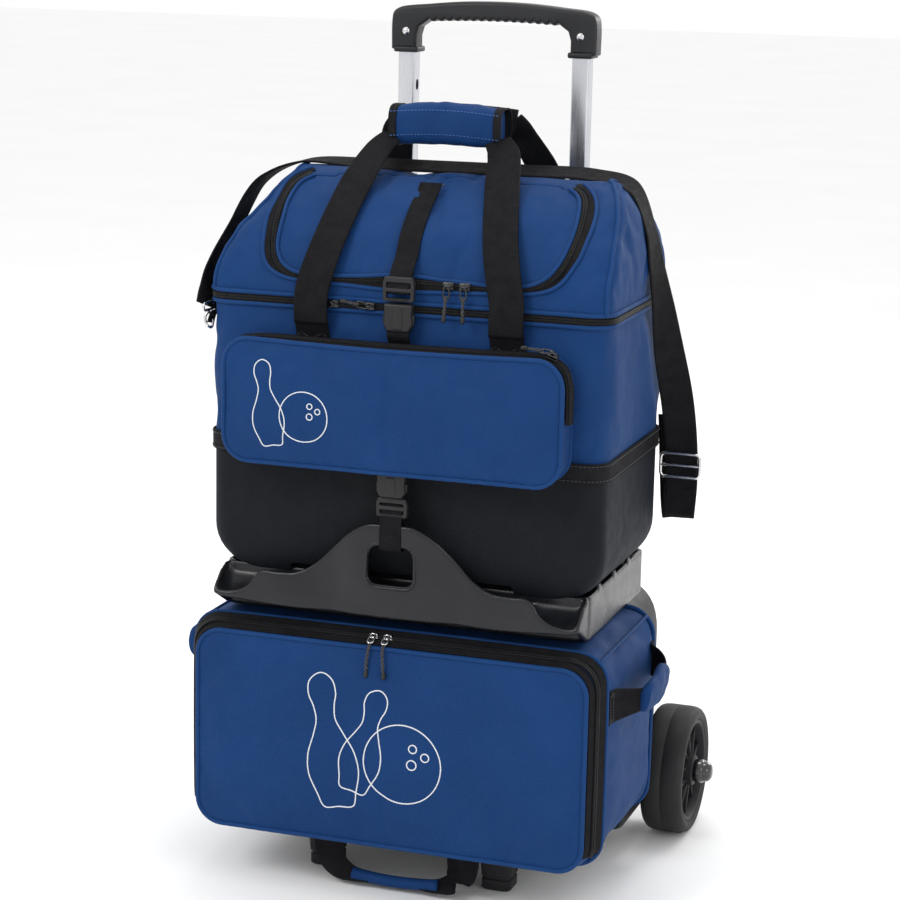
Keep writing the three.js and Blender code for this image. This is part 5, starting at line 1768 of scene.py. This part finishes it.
# ---------------------------------------------------------------- sliders
def make_slider(name, place_at, out, run, pull, body, node, length=34.0, hang=(), finish=DARK_METAL):
    """A zip slider at a point of its zip: a wedge body with a bridge, a nickel puller and a braided cord.
    Out points off the bag, run goes along the zip, and pull is the way the puller points. The cord goes
    the same way for its length, or through the offsets in hang."""
    o, r, d = (np.array(v, float) / np.linalg.norm(v) for v in (out, run, pull))
    c = np.cross(o, r)
    centre = np.array(place_at, float)

    def block(a0, a1, b0, b1, h0, h1, bevel):
        box = rounded_box("block", (a0, b0, h0), (a1, b1, h1), bevel, finish, 3)
        q = millimetres(box)
        set_millimetres(box, centre + q[:, :1] * r + q[:, 1:2] * c + q[:, 2:3] * o)
        return recalculated(box)

    pieces = [block(-5.6, 5.6, -3.9, 3.9, 0.6, 2.6, 0.9), block(-5.6, 5.6, -4.3, 4.3, -2.2, -0.6, 0.7),
              block(-1.2, 5.2, -1.2, 1.2, -1.0, 1.2, 0.4)]
    bridge = [centre + r * a + o * h for a, h in ((-4.4, 2.4), (-3.0, 4.4), (0, 5.0), (3.0, 4.4),
                                                  (4.4, 2.4))]
    pieces.append(wire("bridge", bridge, 0.9, False, finish))
    start = centre + o * 4.4
    w = unit(np.cross(d, o))
    tag = [start + d * a + w * b + o * (0.6 - 0.06 * a) for a, b in
           ((0, -1.6), (0, 1.6), (5, 2.9), (11, 3.2), (13.4, 1.8), (13.4, -1.8), (11, -3.2), (5, -2.9))]
    pieces.append(wire("tag", tag, 0.9, True, finish))
    metal_part = join(f"{name}_body", pieces)
    place(metal_part, body, "steel", node)
    if hang:
        route = [start + d * 10.5] + [start + np.array(offset, float) for offset in hang]
    else:
        route = [start + d * a + o * 0.4 for a in (10.5, length * 0.6, length)]
    line = smooth_curve([tuple(p) for p in route], 0.8)[0]
    ahead = tangents(line)
    beside = unit(np.cross(ahead, o + np.array((0, -0.3, 0))))
    above = np.cross(beside, ahead)
    turn = np.arange(len(line))[:, None] * 0.5
    strands = []
    for phase in (0, math.pi):
        path = line + 0.95 * (beside * np.cos(turn + phase) + above * np.sin(turn + phase))
        strands.append(sweep("strand", [tuple(p) for p in path], 0.95, CORD, 6, 1.6))
    rings = []
    for along, radius in ((-4.2, 1.2), (-3.4, 2.1), (-1.5, 2.5), (1.5, 2.5), (3.2, 2.0), (3.9, 0.9)):
        spot = line[-1] + ahead[-1] * along
        rings.append([tuple(spot + radius * (math.cos(a) * beside[-1] + math.sin(a) * above[-1]))
                      for a in np.linspace(0, 2 * math.pi, 17)[:-1]])
    strands.append(recalculated(loft("cord_end", rings, BUCKLE)))
    place(join(f"{name}_cord", strands), body, "black_webbing")


def make_sliders():
    for side, x, lean in (("left", -20, -1.5), ("right", -4, 2.5)):
        hang = [(0, -15.5, -12), (lean * 0.5, -18.5, -24), (lean, -18.5, -40)]
        make_slider(f"lower_zip_slider_{side}", (x, -114.4, 296.4), (0, -0.46, 0.89), (1, 0, 0),
                    (0, -0.88, -0.47), f"lower_slider_{side}", f"lower_zip_slider_{side}", 30, hang, NICKEL)
    make_slider("pocket_zip_slider", (172, -122.5, 617.5), (0.15, -0.4, 0.9), (1, 0, -0.3),
                (-1, -0.12, 0.1), "pocket_slider", "pocket_zip_slider", 30)
    for name, x in (("main_zip_slider_left", -76), ("main_zip_slider_right", -36)):
        make_slider(name, (x, -99.4, 651.5), (0, -1, 0), (1, 0, 0), (-1, -0.1, -0.14 if x < -50 else 0.16),
                    name.replace("zip_", ""), name, 27)
    for name, x in (("flap_zip_slider_left", 50), ("flap_zip_slider_right", 68)):
        make_slider(name, (x, -98.2, 678), (0, -1, 0.1), (1, 0, 0), (0.06 if x > 60 else -0.02, -0.2, -1),
                    name.replace("zip_", ""), name, 34)


# ---------------------------------------------------------------- stitched motif
def pin_outline(cx, cz, height, lean):
    """A bowling pin's outline, standing at a lean."""
    half = [(0.0, 0.0), (0.115, 0.0), (0.15, 0.1), (0.195, 0.26), (0.18, 0.4), (0.115, 0.55), (0.075, 0.66),
            (0.082, 0.76), (0.105, 0.85), (0.085, 0.95), (0.0, 1.0)]
    shape = half + [(-x, z) for x, z in half[-2:0:-1]]
    c, s = math.cos(lean), math.sin(lean)
    return [(cx + height * (x * c + (z - 0.5) * s), cz + height * (-x * s + (z - 0.5) * c)) for x,
            z in shape]


def circle(cx, cz, radius, count=24):
    return [(cx + radius * math.cos(a), cz + radius * math.sin(a))
            for a in np.linspace(0, 2 * math.pi, count + 1)[:-1]]


def stitched_lines(name, shapes, target, body, y, radius=0.75):
    """White outlines laid on the front of a soft piece."""
    tree = surface_tree(target)
    rows = []
    for shape in shapes:
        route = smooth_curve([(x, y, z) for x, z in shape], 2.2, closed=True)[0]
        path = []
        for p in route:
            start = Vector(p) / 1000 + Vector((0, BAG_Y / 1000 - 0.05, 0))
            spot = tree.ray_cast(start, Vector((0, 1, 0)))[0]
            if spot is not None:
                path.append((spot.x * 1000, spot.y * 1000 - BAG_Y - 0.35, spot.z * 1000))
        rows.append(sweep("line", path, radius, WHITE_THREAD, 6, 2.2, closed=True, raw=True))
    place(join(name, rows), body, "blue_fabric")


def make_motifs(lower, pocket):
    ball = circle(22, 165, 44) 
    holes = [circle(34, 184, 4.6, 12), circle(48, 176, 4.6, 12), circle(33, 166, 5.4, 12)]
    pins = [pin_outline(-62, 182, 150, -0.16), pin_outline(-20, 186, 120, 0.26)]
    stitched_lines("lower_motif", [ball, *holes, *pins], lower, "lower_panel", -130)
    stitched_lines("pocket_motif", [circle(-92, 536, 27), circle(-85, 548, 3, 10), circle(-76, 543, 3, 10),
                                    circle(-85, 537, 3.4, 10), pin_outline(-134, 548, 92, -0.14)],
                   pocket, "tote", -138, 0.65)


make_axle_and_brace()
make_ball_cups("lower_cup_foam", 200, -94, 92, 70.3, 94.3, "chassis", "lower_ball_cups")
make_ball_cups("tote_cup_foam", 172, -76, 140, 352.6, 376.3, "tote", "tote_ball_cups")
make_tote_base()
make_tote_walls()
make_tote_trim()
make_rim_zip()
front_pocket = make_pocket()
dome_tree = make_lid()
make_carry_webs()
make_carry_wrap()
make_shoulder_strap()
make_strap_hardware()
make_centre_strap(dome_tree)
make_sliders()
make_motifs(lower_front, front_pocket)
